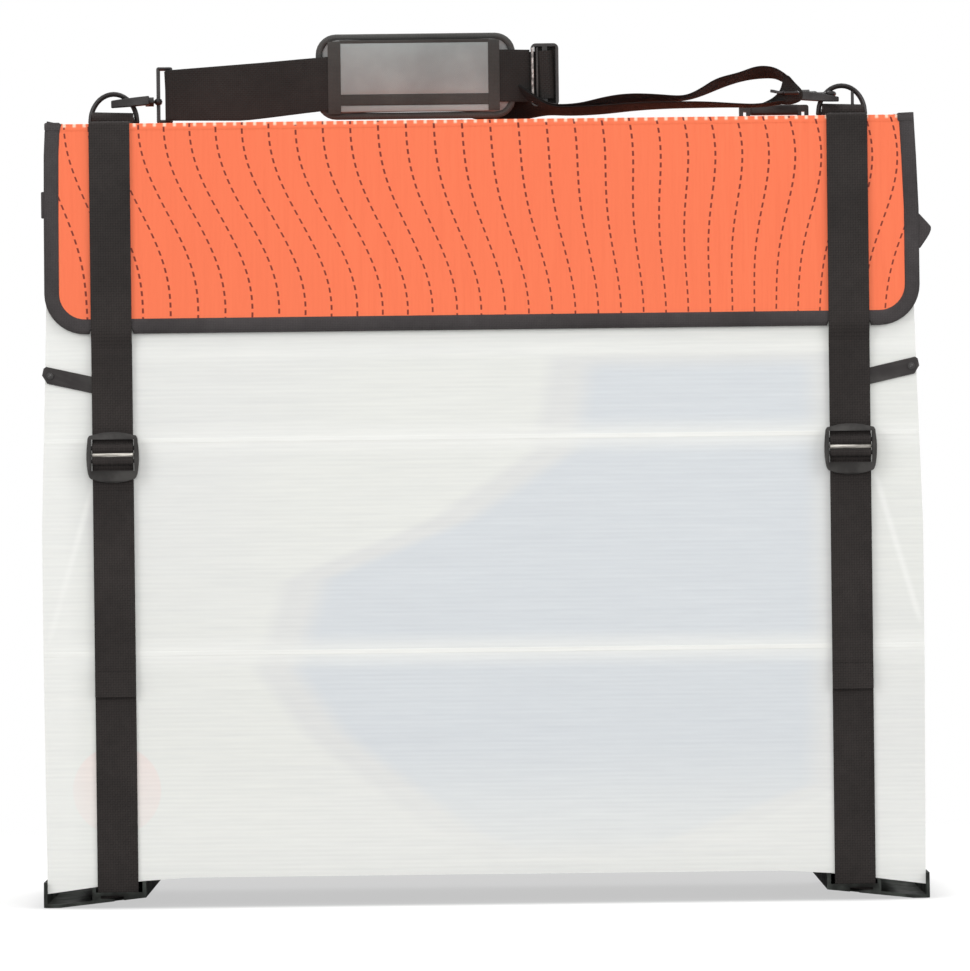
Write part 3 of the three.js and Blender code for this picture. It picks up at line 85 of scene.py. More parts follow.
def new_finish(name, colour, roughness, metallic=0.0, gloss=0.5):
    finish = bpy.data.materials.new(name)
    finish.use_nodes = True
    finish.diffuse_color = (*colour, 1)
    shader = finish.node_tree.nodes["Principled BSDF"]
    shader.inputs["Base Color"].default_value = (*colour, 1)
    shader.inputs["Roughness"].default_value = roughness
    shader.inputs["Metallic"].default_value = metallic
    shader.inputs["Specular IOR Level"].default_value = gloss
    return finish, finish.node_tree, shader


def join(tree, socket, value):
    """A socket gets a number, a colour or the result of another node."""
    if isinstance(value, (int, float)):
        socket.default_value = value
    elif isinstance(value, tuple):
        socket.default_value = (*value, 1) if len(socket.default_value) == 4 else value
    else:
        tree.links.new(value, socket)


def sums(tree, operation, *values):
    step = tree.nodes.new("ShaderNodeMath")
    step.operation = operation
    for socket, value in zip(step.inputs, values):
        join(tree, socket, value)
    return step.outputs[0]


def times(tree, first, *others):
    for other in others:
        first = sums(tree, "MULTIPLY", first, other)
    return first


def ramp(tree, value, start, end, low=0.0, high=1.0, smooth=True):
    step = tree.nodes.new("ShaderNodeMapRange")
    step.interpolation_type = "SMOOTHSTEP" if smooth else "LINEAR"
    for name, number in (("From Min", start), ("From Max", end), ("To Min", low), ("To Max", high)):
        join(tree, step.inputs[name], number)
    join(tree, step.inputs["Value"], value)
    return step.outputs["Result"]


def blend_colour(tree, amount, first, second, way="MIX"):
    step = tree.nodes.new("ShaderNodeMix")
    step.data_type = "RGBA"
    step.blend_type = way
    join(tree, step.inputs[0], amount)
    join(tree, step.inputs[6], first)
    join(tree, step.inputs[7], second)
    return step.outputs[2]


def length_of(tree, vector):
    step = tree.nodes.new("ShaderNodeVectorMath")
    step.operation = "LENGTH"
    join(tree, step.inputs[0], vector)
    return step.outputs["Value"]


def object_place(tree):
    here = tree.nodes.new("ShaderNodeTexCoord")
    split = tree.nodes.new("ShaderNodeSeparateXYZ")
    tree.links.new(here.outputs["Object"], split.inputs[0])
    return here.outputs["Object"], split.outputs[0], split.outputs[1], split.outputs[2]


studio = bpy.data.worlds.new("white_studio")
studio.use_nodes = True
bpy.context.scene.world = studio
air = studio.node_tree
air.nodes.clear()
ray = air.nodes.new("ShaderNodeLightPath").outputs
seen_white = sums(air, "MAXIMUM", ray["Is Camera Ray"], ray["Is Glossy Ray"])
seen_white = sums(air, "MAXIMUM", seen_white, ray["Is Transmission Ray"])
room = air.nodes.new("ShaderNodeMixShader")
join(air, room.inputs[0], seen_white)
for row, strength in ((1, 0.43), (2, 1)):
    backdrop = air.nodes.new("ShaderNodeBackground")
    backdrop.inputs["Color"].default_value = (1, 1, 1, 1)
    backdrop.inputs["Strength"].default_value = strength
    join(air, room.inputs[row], backdrop.outputs[0])
join(air, air.nodes.new("ShaderNodeOutputWorld").inputs["Surface"], room.outputs[0])

# The floor is a pale round sheet. Its surface fades into the white around it,
# and under the box and just behind it a soft shadow is painted into its colour.
bpy.ops.object.select_all(action="DESELECT")
bpy.ops.mesh.primitive_circle_add(vertices=64, radius=2.6, fill_type="NGON", location=(0, 0, -0.0006))
floor = bpy.context.object
floor.name = "studio_floor"
bpy.ops.object.transform_apply(location=True, rotation=True, scale=True)
floor_pale, floor_painted_shadow_grey = (0.55, 0.55, 0.55), (0.06, 0.06, 0.06)
floor_finish, web, sweep = new_finish("pale_sweep", floor_pale, 0.9, gloss=0.1)
sweep.inputs["Emission Color"].default_value = (1, 1, 1, 1)
seen = web.nodes.new("ShaderNodeLightPath").outputs["Is Camera Ray"]
join(web, sweep.inputs["Emission Strength"], times(web, seen, 0.55))
place, x, y, _ = object_place(web)
fade = web.nodes.new("ShaderNodeMixShader")
join(web, fade.inputs[0], ramp(web, length_of(web, place), 0.85, 1.5))
join(web, fade.inputs[1], sweep.outputs[0])
join(web, fade.inputs[2], web.nodes.new("ShaderNodeBsdfTransparent").outputs[0])
join(web, web.nodes["Material Output"].inputs["Surface"], fade.outputs[0])
# Painted shadow: the floor's colour is darkened under the box and just behind it.
painted_floor_shadow = times(web, ramp(web, sums(web, "ABSOLUTE", x), 0.36, 0.47, 1.0, 0.0), ramp(web, y, -0.21, -0.13),
              ramp(web, y, 0.44, 0.78, 1.0, 0.0))
join(web, sweep.inputs["Base Color"], blend_colour(web, painted_floor_shadow, floor_pale, floor_painted_shadow_grey))
floor.data.materials.append(floor_finish)


# THE HULL SHEET. One sheet of frosted twin-wall plastic, folded round the foot
# into front, back and floor. Its flutes run sideways and it is milky. The shade of
# the folded nose panel behind the front is painted on as a cool, bluish leaf.
def less(tree, first, second):
    return sums(tree, "SUBTRACT", first, second)


def cloud(tree, where, scale, detail=2.0, rough=0.5):
    step = tree.nodes.new("ShaderNodeTexNoise")
    join(tree, step.inputs["Vector"], where)
    step.inputs["Scale"].default_value = scale
    step.inputs["Detail"].default_value = detail
    step.inputs["Roughness"].default_value = rough
    return step.outputs["Fac"]


def stretched(tree, x, y, z):
    step = tree.nodes.new("ShaderNodeCombineXYZ")
    for socket, value in zip(step.inputs, (x, y, z)):
        join(tree, socket, value)
    return step.outputs[0]


def raised(tree, shader, height, distance, strength=1.0):
    bump = tree.nodes.new("ShaderNodeBump")
    bump.inputs["Distance"].default_value = distance
    bump.inputs["Strength"].default_value = strength
    tree.links.new(height, bump.inputs["Height"])
    tree.links.new(bump.outputs[0], shader.inputs["Normal"])


def give(finish, *names):
    for name in names:
        for slot in part[name].material_slots:
            slot.material = finish


def profile(tree, value, points):
    """One number drawn against another through the given points."""
    low, high = points[0][0], points[-1][0]
    least = min(p[1] for p in points)
    most = max(p[1] for p in points)
    curve = tree.nodes.new("ShaderNodeFloatCurve")
    line = curve.mapping.curves[0]
    while len(line.points) < len(points):
        line.points.new(0.5, 0.5)
    for spot, (at, number) in zip(line.points, points):
        spot.location = ((at - low) / (high - low), (number - least) / (most - least))
        spot.handle_type = "VECTOR"
    curve.mapping.update()
    join(tree, curve.inputs["Value"], ramp(tree, value, low, high, smooth=False))
    return ramp(tree, curve.outputs[0], 0, 1, least, most, smooth=False)


def node_group(name, taken, given):
    """An empty node group with named sockets, and what it takes and gives."""
    group = bpy.data.node_groups.new(name, "ShaderNodeTree")
    for way, names in (("INPUT", taken), ("OUTPUT", given)):
        for socket in names:
            kind = "NodeSocketVector" if socket == "Place" else "NodeSocketFloat"
            group.interface.new_socket(socket, in_out=way, socket_type=kind)
    return group, group.nodes.new("NodeGroupInput").outputs, group.nodes.new("NodeGroupOutput").inputs


def grouped(tree, group, *values):
    step = tree.nodes.new("ShaderNodeGroup")
    step.node_tree = group
    for socket, value in zip(step.inputs, values):
        join(tree, socket, value)
    return step.outputs[0], step.outputs[1]


flute_pitch = 0.0043
flutes, taken, given = node_group("sideways_flutes", ("Along", "Across", "Pitch"), ("Streak", "Rib"))
along, across, pitch = taken[0], taken[1], taken[2]
long_run = stretched(flutes, times(flutes, along, 7.0), 0.0, times(flutes, across, 210.0))
short_run = stretched(flutes, times(flutes, along, 26.0), 3.1, times(flutes, across, 430.0))
both = sums(flutes, "ADD", times(flutes, cloud(flutes, long_run, 1.0, 2.0), 0.6),
            times(flutes, cloud(flutes, short_run, 1.0, 1.0), 0.4))
join(flutes, given[0], ramp(flutes, both, 0.3, 0.7, smooth=False))
turn = times(flutes, sums(flutes, "DIVIDE", across, pitch), 2 * math.pi)
join(flutes, given[1], sums(flutes, "MULTIPLY_ADD", sums(flutes, "SINE", turn), 0.5, 0.5))


def slanting_line(tree, x, z, start, end, width):
    """A soft painted highlight line on the front, from one point to another."""
    run = Vector((end[0] - start[0], end[1] - start[1])).normalized()
    off = sums(tree, "ADD", times(tree, less(tree, x, start[0]), -run.y), times(tree, less(tree, z, start[1]), run.x))
    return times(tree, ramp(tree, sums(tree, "ABSOLUTE", off), 0.0, width, 1.0, 0.0),
                 ramp(tree, z, end[1] - 0.01, end[1] + 0.01), ramp(tree, z, start[1] - 0.01, start[1] + 0.01, 1.0, 0.0))


def painted(tree, shader, colour, roughness=None):
    join(tree, shader.inputs["Base Color"], colour)
    if roughness is not None:
        join(tree, shader.inputs["Roughness"], roughness)


frosted_white = (0.839, 0.847, 0.807)
frosted_bright = (0.905, 0.91, 0.875)
painted_leaf_shade_grey = (0.768, 0.774, 0.764)
painted_leaf_shade_cool = (0.715, 0.748, 0.772)
hull_finish, tree, shader = new_finish("frosted_twin_wall", frosted_white, 0.42, gloss=0.3)
place, x, y, z = object_place(tree)
streak, rib = grouped(tree, flutes, x, z, flute_pitch)
# Painted shade: where the folded nose panel stands behind the front, the sheet is painted a cooler grey, as a bluish
# leaf.
leaf_left = profile(tree, z, ((0.05, 0.017), (0.07, -0.0305), (0.162, -0.15), (0.225, -0.198), (0.311, -0.168),
                              (0.367, -0.029), (0.433, 0.0725), (0.52, 0.088)))
leaf_right = profile(tree, z, ((0.05, 0.165), (0.11, 0.325), (0.26, 0.331), (0.43, 0.331), (0.52, 0.327)))
front_side = ramp(tree, y, -0.13, -0.12, 1.0, 0.0)
painted_leaf_shade_shares = []
for side_start, side_end, low_start, low_end, high_start, high_end in (
    (0.0, 0.03, 0.04, 0.065, 0.504, 0.524), (-0.035, -0.012, 0.02, 0.04, 0.516, 0.532),
):
    painted_leaf_shade_shares.append(times(tree, ramp(tree, less(tree, x, leaf_left), side_start, side_end),
                             ramp(tree, less(tree, leaf_right, x), side_start, side_end),
                             ramp(tree, z, low_start, low_end),
                             ramp(tree, z, high_start, high_end, 1.0, 0.0), front_side))
inner, outer = painted_leaf_shade_shares
mark_off = length_of(tree, stretched(tree, sums(tree, "ADD", x, 0.3556), 0.0, less(tree, z, 0.1115)))
red_mark = times(tree, front_side, ramp(tree, mark_off, 0.041, 0.0435, 0.8, 0.0))
sheet_tone_and_painted_light = blend_colour(tree, ramp(tree, cloud(tree, place, 3.0), 0.35, 0.65), frosted_white, (0.82, 0.825, 0.80))
# Painted light: the sheet is brighter towards the bottom, in place of light bounced up from the floor. It is also
# brighter along the top band and the left edge.
for amount, colour in ((times(tree, outer, 0.8), painted_leaf_shade_grey), (inner, painted_leaf_shade_cool),
                       (red_mark, (0.885, 0.775, 0.735)),
                       (ramp(tree, z, 0.515, 0.535, 0.0, 0.6), frosted_bright),
                       (ramp(tree, x, -0.405, -0.38, 0.6, 0.0), frosted_bright),
                       (ramp(tree, z, 0.02, 0.17, 0.75, 0.0), frosted_bright)):
    sheet_tone_and_painted_light = blend_colour(tree, amount, sheet_tone_and_painted_light, colour)
# Painted highlights: soft bright bands along the folds and along the two slanting creases at the sides.
painted_crease_highlights = slanting_line(tree, x, z, (-0.375, 0.405), (-0.42, 0.251), 0.005)
painted_crease_highlights = sums(tree, "MAXIMUM", painted_crease_highlights, slanting_line(tree, x, z, (0.373, 0.41), (0.415, 0.267), 0.005))
for height, wide, share in ((0.529, 0.009, 0.6), (0.039, 0.004, 0.6), (0.446, 0.021, 0.72), (0.242, 0.021, 0.72)):
    near = ramp(tree, sums(tree, "ABSOLUTE", less(tree, z, height)), 0.0, wide, share, 0.0)
    painted_crease_highlights = sums(tree, "MAXIMUM", painted_crease_highlights, near)
sheet_tone_and_painted_light = blend_colour(tree, painted_crease_highlights, sheet_tone_and_painted_light, frosted_bright)
for amount, dulled in ((streak, (0.938, 0.94, 0.948)), (rib, (0.992, 0.992, 0.992))):
    sheet_tone_and_painted_light = blend_colour(tree, 1.0, sheet_tone_and_painted_light, blend_colour(tree, amount, dulled, (1.0, 1.0, 1.0)), "MULTIPLY")
painted(tree, shader, sheet_tone_and_painted_light, ramp(tree, streak, 0.0, 1.0, 0.5, 0.36, smooth=False))
raised(tree, shader, rib, 0.00018, 0.26)
give(hull_finish, "hull_bottom")
for band in ("lower", "middle", "upper"):
    give(hull_finish, "hull_front_" + band, "hull_back_" + band)


def alone():
    if bpy.context.object and bpy.context.object.mode != "OBJECT":
        bpy.ops.object.mode_set(mode="OBJECT")
    bpy.ops.object.select_all(action="DESELECT")


def block(name, low, high):
    """A plain block between two corners, to be shaped further."""
    alone()
    middle = [(a + b) / 2 for a, b in zip(low, high)]
    bpy.ops.mesh.primitive_cube_add(size=1, location=middle)
    made = bpy.context.object
    made.name = name
    made.scale = [b - a for a, b in zip(low, high)]
    bpy.ops.object.transform_apply(location=True, rotation=True, scale=True)
    return made


def only(made):
    alone()
    made.select_set(True)
    bpy.context.view_layer.objects.active = made


def modified(made, kind, **settings):
    only(made)
    step = made.modifiers.new(kind.lower(), kind)
    for name, value in settings.items():
        setattr(step, name, value)
    bpy.ops.object.modifier_apply(modifier=step.name)
    return made


def settle(made, finish, body, slot, *stands_for):
    """The finished piece gets its material and is attached to its body; a piece
    given a bend instead of a body is only fixed where it stands. The slot is not
    used. The parts it stands for are hidden."""
    only(made)
    made.data.materials.clear()
    made.data.materials.append(finish)
    for face in made.data.polygons:
        face.material_index = 0
    if isinstance(body, str):
        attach(made, body)
    else:
        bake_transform(made)
    if stands_for:
        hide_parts(*stands_for)
    return made


# Where the sheet turns from one band to the next, its skin is pressed to a thin
# bright bead that runs right across.
# The bead is painted a little brighter than the sheet, as part of the painted crease highlight.
bead_finish, tree, shader = new_finish("pressed_crease", (0.868, 0.874, 0.843), 0.4)
_, x, _, z = object_place(tree)
streak, _ = grouped(tree, flutes, x, z, 0.0011)
painted(tree, shader, blend_colour(tree, streak, (0.825, 0.83, 0.798), (0.9, 0.905, 0.872)))
raised(tree, shader, streak, 0.0002, 0.4)
bead_half, bead_proud, bead_deep = 0.0021, 0.0002, 0.0007
for face_name, face_y, outward in (("front", -0.1462, -1), ("back", 0.1498, 1)):
    near, far = sorted((face_y + outward * bead_proud, face_y - outward * bead_deep))
    for level_name, level, inset in (("lower", 0.242, 0.0006), ("upper", 0.446, 0.0012)):
        low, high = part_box("hull_%s_%s" % (face_name, level_name))
        bead = block("crease_bead_%s_%s" % (face_name, level_name),
                     (low.x + inset, near, level - bead_half), (high.x - inset, far, level + bead_half))
        modified(bead, "BEVEL", width=0.00018, segments=2)
        settle(bead, bead_finish, "box", "sheet")


# THE GUSSETS. The hull's folded ends: the same frosted sheet creased inwards in
# a V on each side. Here the flutes stand upright.
gusset_finish, tree, shader = new_finish("frosted_gusset", frosted_white, 0.45, gloss=0.3)
place, x, y, z = object_place(tree)
streak, rib = grouped(tree, flutes, z, y, flute_pitch)
painted(tree, shader, blend_colour(tree, streak, (0.78, 0.79, 0.765), frosted_white))
raised(tree, shader, rib, 0.0003, 0.6)
give(gusset_finish, "gusset_left_front", "gusset_left_back", "gusset_right_front", "gusset_right_back")


# THE FOLDED INSIDE PANELS. Nose and tail panels and the two bulkheads are cut
# from the same sheet, a little greyer, and stand folded flat inside.
inner_finish, tree, shader = new_finish("frosted_inner_sheet", (0.74, 0.76, 0.76), 0.45)
place, x, y, z = object_place(tree)
streak, rib = grouped(tree, flutes, x, z, flute_pitch)
painted(tree, shader, blend_colour(tree, streak, (0.68, 0.70, 0.71), (0.77, 0.79, 0.79)))
raised(tree, shader, rib, 0.0003, 0.6)
give(inner_finish, "bow_panel", "stern_panel", "bow_bulkhead", "stern_bulkhead")


# THE ORANGE BOARD. The cockpit cover, a sheet of fluted plastic board, folded
# over the box as a lid with a front and a back flap. Rows of little dashes are
# printed on it.
dash_brown, notch_pale = (0.19, 0.02, 0.01), (1.0, 0.68, 0.52)
dash_row, dash_step, dash_wide, notch_step = 0.0235, 0.0083, 0.0017, 0.0096
board_finish, tree, shader = new_finish("orange_board", (0.982, 0.212, 0.098), 0.48, gloss=0.25)
place, x, y, z = object_place(tree)
run = less(tree, z, times(tree, y, sums(tree, "SIGN", y)))
sway = sums(tree, "SINE", sums(tree, "MULTIPLY_ADD", run, 27.0, times(tree, x, 5.2)))
curl = sums(tree, "SINE", sums(tree, "MULTIPLY_ADD", run, 11.0, times(tree, x, -3.4)))
bent = sums(tree, "ADD", x, sums(tree, "MULTIPLY_ADD", sway, 0.0085, times(tree, curl, 0.026)))
column = sums(tree, "DIVIDE", bent, dash_row)


def off_centre(tree, value):
    """How far a number lies from the middle of its whole step."""
    return sums(tree, "ABSOLUTE", less(tree, sums(tree, "FRACT", value), 0.5))


on_row = ramp(tree, times(tree, off_centre(tree, column), dash_row), dash_wide * 0.35, dash_wide * 0.65, 1.0, 0.0)
shuffle = tree.nodes.new("ShaderNodeTexWhiteNoise")
shuffle.noise_dimensions = "1D"
join(tree, shuffle.inputs["W"], sums(tree, "FLOOR", column))
along_row = sums(tree, "ADD", sums(tree, "DIVIDE", run, dash_step), shuffle.outputs["Value"])
# The dashes are printed on the outside only.
facing = tree.nodes.new("ShaderNodeSeparateXYZ")
join(tree, facing.inputs["Vector"], tree.nodes.new("ShaderNodeTexCoord").outputs["Normal"])
outward = sums(tree, "MAXIMUM", facing.outputs["Z"], times(tree, y, facing.outputs["Y"], 6.0))
dashes = times(tree, on_row, ramp(tree, off_centre(tree, along_row), 0.26, 0.32, 1.0, 0.0),
               ramp(tree, outward, 0.2, 0.5))
streak, rib = grouped(tree, flutes, z, x, 0.0045)
ground = blend_colour(tree, streak, (0.93, 0.180, 0.074), (0.985, 0.204, 0.086))
ground = blend_colour(tree, ramp(tree, cloud(tree, place, 5.0), 0.35, 0.7, 0.0, 0.5), ground, (0.925, 0.184, 0.078))
# Pale notches cut the flutes along both folds of the lid.
from_middle = sums(tree, "ABSOLUTE", less(tree, y, 0.0018))
notches = times(tree, ramp(tree, off_centre(tree, sums(tree, "DIVIDE", x, notch_step)), 0.06, 0.24, 1.0, 0.0),
                ramp(tree, z, 0.7458, 0.7480), ramp(tree, from_middle, 0.1445, 0.1475))
painted(tree, shader, blend_colour(tree, notches, blend_colour(tree, dashes, ground, dash_brown), notch_pale))
raised(tree, shader, rib, 0.0002, 0.35)
give(board_finish, "lid_top_panel", "lid_front_flap", "lid_back_flap")


def folded_strip(name, low_x, high_x, outline, thick, slices):
    """A thin strip that follows an outline of (y, z) points."""
    alone()
    bpy.ops.mesh.primitive_grid_add(x_subdivisions=slices, y_subdivisions=len(outline) - 1, size=1)
    strip = bpy.context.object
    strip.name = name
    for point in strip.data.vertices:
        at_y, at_z = outline[round((point.co.y + 0.5) * (len(outline) - 1))]
        point.co = (low_x + (high_x - low_x) * (point.co.x + 0.5), at_y, at_z)
    modified(strip, "SOLIDIFY", thickness=thick, offset=0)
    modified(strip, "SUBSURF", levels=1, render_levels=1)
    only(strip)
    bpy.ops.object.shade_smooth_by_angle(angle=math.radians(40))
    return strip


# Where the board folds, its outer skin runs on across the fold and hinges it.
for name, outline, bend in (
    ("front", ((-0.1400, 0.75002), (-0.1450, 0.75002), (-0.1480, 0.75002), (-0.1502, 0.7499), (-0.1515, 0.7489),
               (-0.15178, 0.7468), (-0.15178, 0.7430)),
     ("lid_top", "lid_front", (0, -0.1455, 0.7504), (0, -0.1520, 0.7462))),
    ("back", ((0.1440, 0.75002), (0.1485, 0.75002), (0.1515, 0.75002), (0.1538, 0.7499), (0.1551, 0.7489),
              (0.15538, 0.7468), (0.15538, 0.7430)),
     ("box", "lid_top", (0, 0.1556, 0.7462), (0, 0.1490, 0.7504))),
):
    fold = folded_strip("fold_skin_" + name, -0.4125, 0.4075, outline, 0.0005, 40)
    settle(fold, board_finish, bend, "board")


# THE EDGE BINDING. A black woven tape folded over the cut edges of the board
# and sewn along its inner side with one row of thread.
weave, taken, given = node_group("plain_weave", ("Along", "Across", "Pitch", "Slack"), ("Height", "Shade"))
along, across = sums(weave, "DIVIDE", taken[0], taken[2]), sums(weave, "DIVIDE", taken[1], taken[2])
over = sums(weave, "FLOORED_MODULO", sums(weave, "ADD", sums(weave, "FLOOR", along), sums(weave, "FLOOR", across)), 2.0)
warp, weft = (sums(weave, "ABSOLUTE", sums(weave, "SINE", times(weave, way, math.pi))) for way in (across, along))
height = sums(weave, "ADD", times(weave, warp, over), times(weave, weft, less(weave, 1.0, over)))
join(weave, given[0], height)
# Painted shade: the Shade output makes the raised threads lighter and the hollows between them darker, mixed with
# random fuzz.
fuzz = cloud(weave, stretched(weave, taken[0], taken[1], 0.0), 90.0, 3.0, 0.6)
fuzz_and_thread_shade = sums(weave, "MULTIPLY_ADD", less(weave, fuzz, 0.5), taken[3], height)
join(weave, given[1], ramp(weave, fuzz_and_thread_shade, -0.2, 1.2, smooth=False))


def black_web(name, dark, light, along_axis, across_axis, pitch, depth):
    """A black woven band, with its threads running along the given axes, and painted shade between the threads."""
    finish, tree, shader = new_finish(name, light, 0.75, gloss=0.14)
    shader.inputs["Sheen Weight"].default_value = 0.03
    shader.inputs["Sheen Roughness"].default_value = 0.5
    place, x, y, z = object_place(tree)
    axes = {"x": x, "y": y, "z": z, "yz": sums(tree, "ADD", y, z), "xz": sums(tree, "ADD", x, z)}
    height, painted_thread_shade = grouped(tree, weave, axes[along_axis], axes[across_axis], pitch, 0.9)
    patch = ramp(tree, cloud(tree, place, 14.0, 3.0), 0.3, 0.7, 0.82, 1.08)
    tone = blend_colour(tree, painted_thread_shade, dark, light)
    painted(tree, shader, blend_colour(tree, 1.0, tone, stretched(tree, patch, patch, patch), "MULTIPLY"))
    raised(tree, shader, height, depth, 0.7)
    return finish


binding_finish = black_web("binding_tape", (0.038, 0.034, 0.034), (0.074, 0.066, 0.067), "yz", "x", 0.0016, 0.0003)
give(binding_finish, "binding_top_left", "binding_top_right")


def edited(step, **settings):
    """One step of edit mode on the whole of the piece."""
    bpy.ops.object.mode_set(mode="EDIT")
    bpy.ops.mesh.select_all(action="SELECT")
    step(**settings)
    bpy.ops.object.mode_set(mode="OBJECT")


def tube(bevel, resolution, capped=False):
    """The chosen line is fattened to a tube, with caps if it has ends."""
    bpy.ops.object.convert(target="CURVE")
    line = bpy.context.object.data
    line.dimensions = "3D"
    line.bevel_depth = bevel
    line.bevel_resolution = resolution
    line.use_fill_caps = capped
    bpy.ops.object.convert(target="MESH")
    return bpy.context.object


def welded():
    edited(bpy.ops.mesh.remove_doubles, threshold=0.00002)
    edited(bpy.ops.mesh.normals_make_consistent, inside=False)


# The tape round each flap: a row of points down one side, round two corners
# and up the other, fattened to the tape's width and pressed flat. Under the
# straps its edge is pressed in.
tape_half, tape_depth, corner, tape_low, pinched_low = 0.0074, 0.0034, 0.0316, 0.5561, 0.5531
strap_edges = ((-0.3755, -0.3355), (0.3305, 0.3705))
for face_name, body, face_y in (("front", "lid_front", -0.1500), ("back", "box", 0.1536)):
    path = [(-0.4078, 0.7514), (-0.4100, 0.7420), (-0.4111, 0.7200), (-0.4118, 0.6600)]
    for at_x, turned in ((-0.4121 + corner, 180), (0.4113 - corner, 270)):
        if turned == 270:
            for low_x, high_x in strap_edges:
                path += [(at, tape_low) for at in (low_x - 0.001, low_x + 0.0003, high_x - 0.0003, high_x + 0.001)]
        for share in range(11):
            angle = math.radians(turned + 9 * share)
            path.append((at_x + corner * math.cos(angle), tape_low + corner + corner * math.sin(angle)))
    path += [(0.4112, 0.6600), (0.4093, 0.7100), (0.4078, 0.7400), (0.4073, 0.7518)]
    alone()
    bpy.ops.mesh.primitive_circle_add(vertices=len(path), radius=1)
    tape = bpy.context.object
    tape.name = "edge_tape_" + face_name
    for point, (at_x, at_z) in zip(tape.data.vertices, path):
        point.co = (at_x, face_y, at_z)
    bpy.ops.object.mode_set(mode="EDIT")
    bpy.ops.mesh.select_mode(type="EDGE")
    bpy.ops.mesh.select_all(action="DESELECT")
    bpy.ops.object.mode_set(mode="OBJECT")
    for line in tape.data.edges:
        line.select = sorted(line.vertices) == [0, len(path) - 1]
    bpy.ops.object.mode_set(mode="EDIT")
    bpy.ops.mesh.delete(type="EDGE_FACE")
    bpy.ops.object.mode_set(mode="OBJECT")
    tape = tube(tape_half, 6, capped=True)
    for point in tape.data.vertices:
        share = max(-1.0, min(1.0, (point.co.y - face_y) / tape_half))
        point.co.y = face_y + tape_depth * math.copysign(abs(share) ** 0.5, share)
        if any(low_x < point.co.x < high_x for low_x, high_x in strap_edges):
            point.co.z = max(point.co.z, pinched_low)
    welded()
    bpy.ops.object.shade_smooth_by_angle(angle=math.radians(50))
    settle(tape, binding_finish, body, "binding", "binding_" + face_name)

# The tape turns with the board at both folds of the lid.
for side, low_x, high_x in (("left", -0.4176, -0.4024), ("right", 0.3989, 0.4141)):
    for fold_name, outline, bend in (
        ("front", ((-0.1430, 0.7507), (-0.1480, 0.7508), (-0.1505, 0.7505), (-0.1522, 0.7493), (-0.1528, 0.7475),
                   (-0.1528, 0.7430)), ("lid_top", "lid_front", (0, -0.1465, 0.7507), (0, -0.1528, 0.7462))),
        ("back", ((0.1460, 0.7507), (0.1515, 0.7508), (0.1540, 0.7505), (0.1558, 0.7493), (0.1564, 0.7475),
                  (0.1564, 0.7430)), ("box", "lid_top", (0, 0.1564, 0.7462), (0, 0.1500, 0.7507))),
    ):
        turn_over = folded_strip("tape_turn_%s_%s" % (fold_name, side), low_x, high_x, outline, 0.0022, 5)
        settle(turn_over, binding_finish, bend, "binding")


def eased(made, width, segments=3):
    modified(made, "BEVEL", width=width, segments=segments, limit_method="ANGLE", angle_limit=math.radians(40))
    bpy.ops.object.shade_smooth_by_angle(angle=math.radians(45))
    return made


# A folded end of the left pull is caught under the front tape.
pull_stub = block("pull_stub_left", (-0.4215, -0.1514, 0.6600), (-0.4170, -0.1484, 0.6855))
eased(pull_stub, 0.0011, 4)
settle(pull_stub, binding_finish, "lid_front", "binding")

# The right pull, a loop of tape pressed flat into a pointed ear.
ear_root_x = 0.4125
ear_rows = ((0.6217, 0.4194), (0.6307, 0.4257), (0.6355, 0.4286), (0.6395, 0.4301), (0.6425, 0.4301), (0.6470, 0.4262),
            (0.6552, 0.4187))
alone()
bpy.ops.mesh.primitive_grid_add(x_subdivisions=2, y_subdivisions=len(ear_rows) - 1, size=1)
ear = bpy.context.object
ear.name = "pull_ear_right"
for point in ear.data.vertices:
    at_z, out_x = ear_rows[round((point.co.y + 0.5) * (len(ear_rows) - 1))]
    point.co = (ear_root_x + (out_x - ear_root_x) * (point.co.x + 0.5), -0.1498, at_z)
modified(ear, "SOLIDIFY", thickness=0.0030, offset=0)
eased(ear, 0.0009, 3)
settle(ear, binding_finish, "lid_front", "binding", "pull_loop_right")


# THE STRAPS. Black polypropylene webbing, 39 mm wide: up each side of the box,
# over the lid and back down to its buckles.
strap_finish = black_web("box_strap", (0.017, 0.0145, 0.014), (0.04, 0.034, 0.032), "yz", "x", 0.0024, 0.0004)
for run_name in ("front_lower", "under", "rear", "top", "flap", "hanging", "tail"):
    give(strap_finish, "strap_%s_left" % run_name, "strap_%s_right" % run_name)

# The webbing runs on round both folds of the lid and round the flap's edge.
for side, low_x, high_x in (("left", -0.3751, -0.3359), ("right", 0.3309, 0.3701)):
    for fold_name, outline, bend in (
        ("front", ((-0.1480, 0.7513), (-0.1512, 0.7513), (-0.1528, 0.7508), (-0.1536, 0.7496), (-0.1538, 0.7480),
                   (-0.1538, 0.7440)), ("lid_top", "lid_front", (0, -0.1495, 0.7513), (0, -0.1538, 0.7468))),
        ("back", ((0.1485, 0.7513), (0.1520, 0.7513), (0.1546, 0.7509), (0.1565, 0.7496), (0.1573, 0.7475),
                  (0.1574, 0.7440), (0.1574, 0.7405)), ("box", "lid_top", (0, 0.1574, 0.7450), (0, 0.1515, 0.7513))),
        ("edge", ((-0.1539, 0.5640), (-0.1539, 0.5580), (-0.1540, 0.5525), (-0.1539, 0.5495), (-0.1527, 0.5450),
                  (-0.1514, 0.5405)), ("lid_front", "hanging_" + side, (0, -0.1540, 0.5580), (0, -0.1530, 0.5470))),
    ):
        turn_over = folded_strip("strap_turn_%s_%s" % (fold_name, side), low_x, high_x, outline, 0.0022, 8)
        settle(turn_over, strap_finish, bend, "webbing")


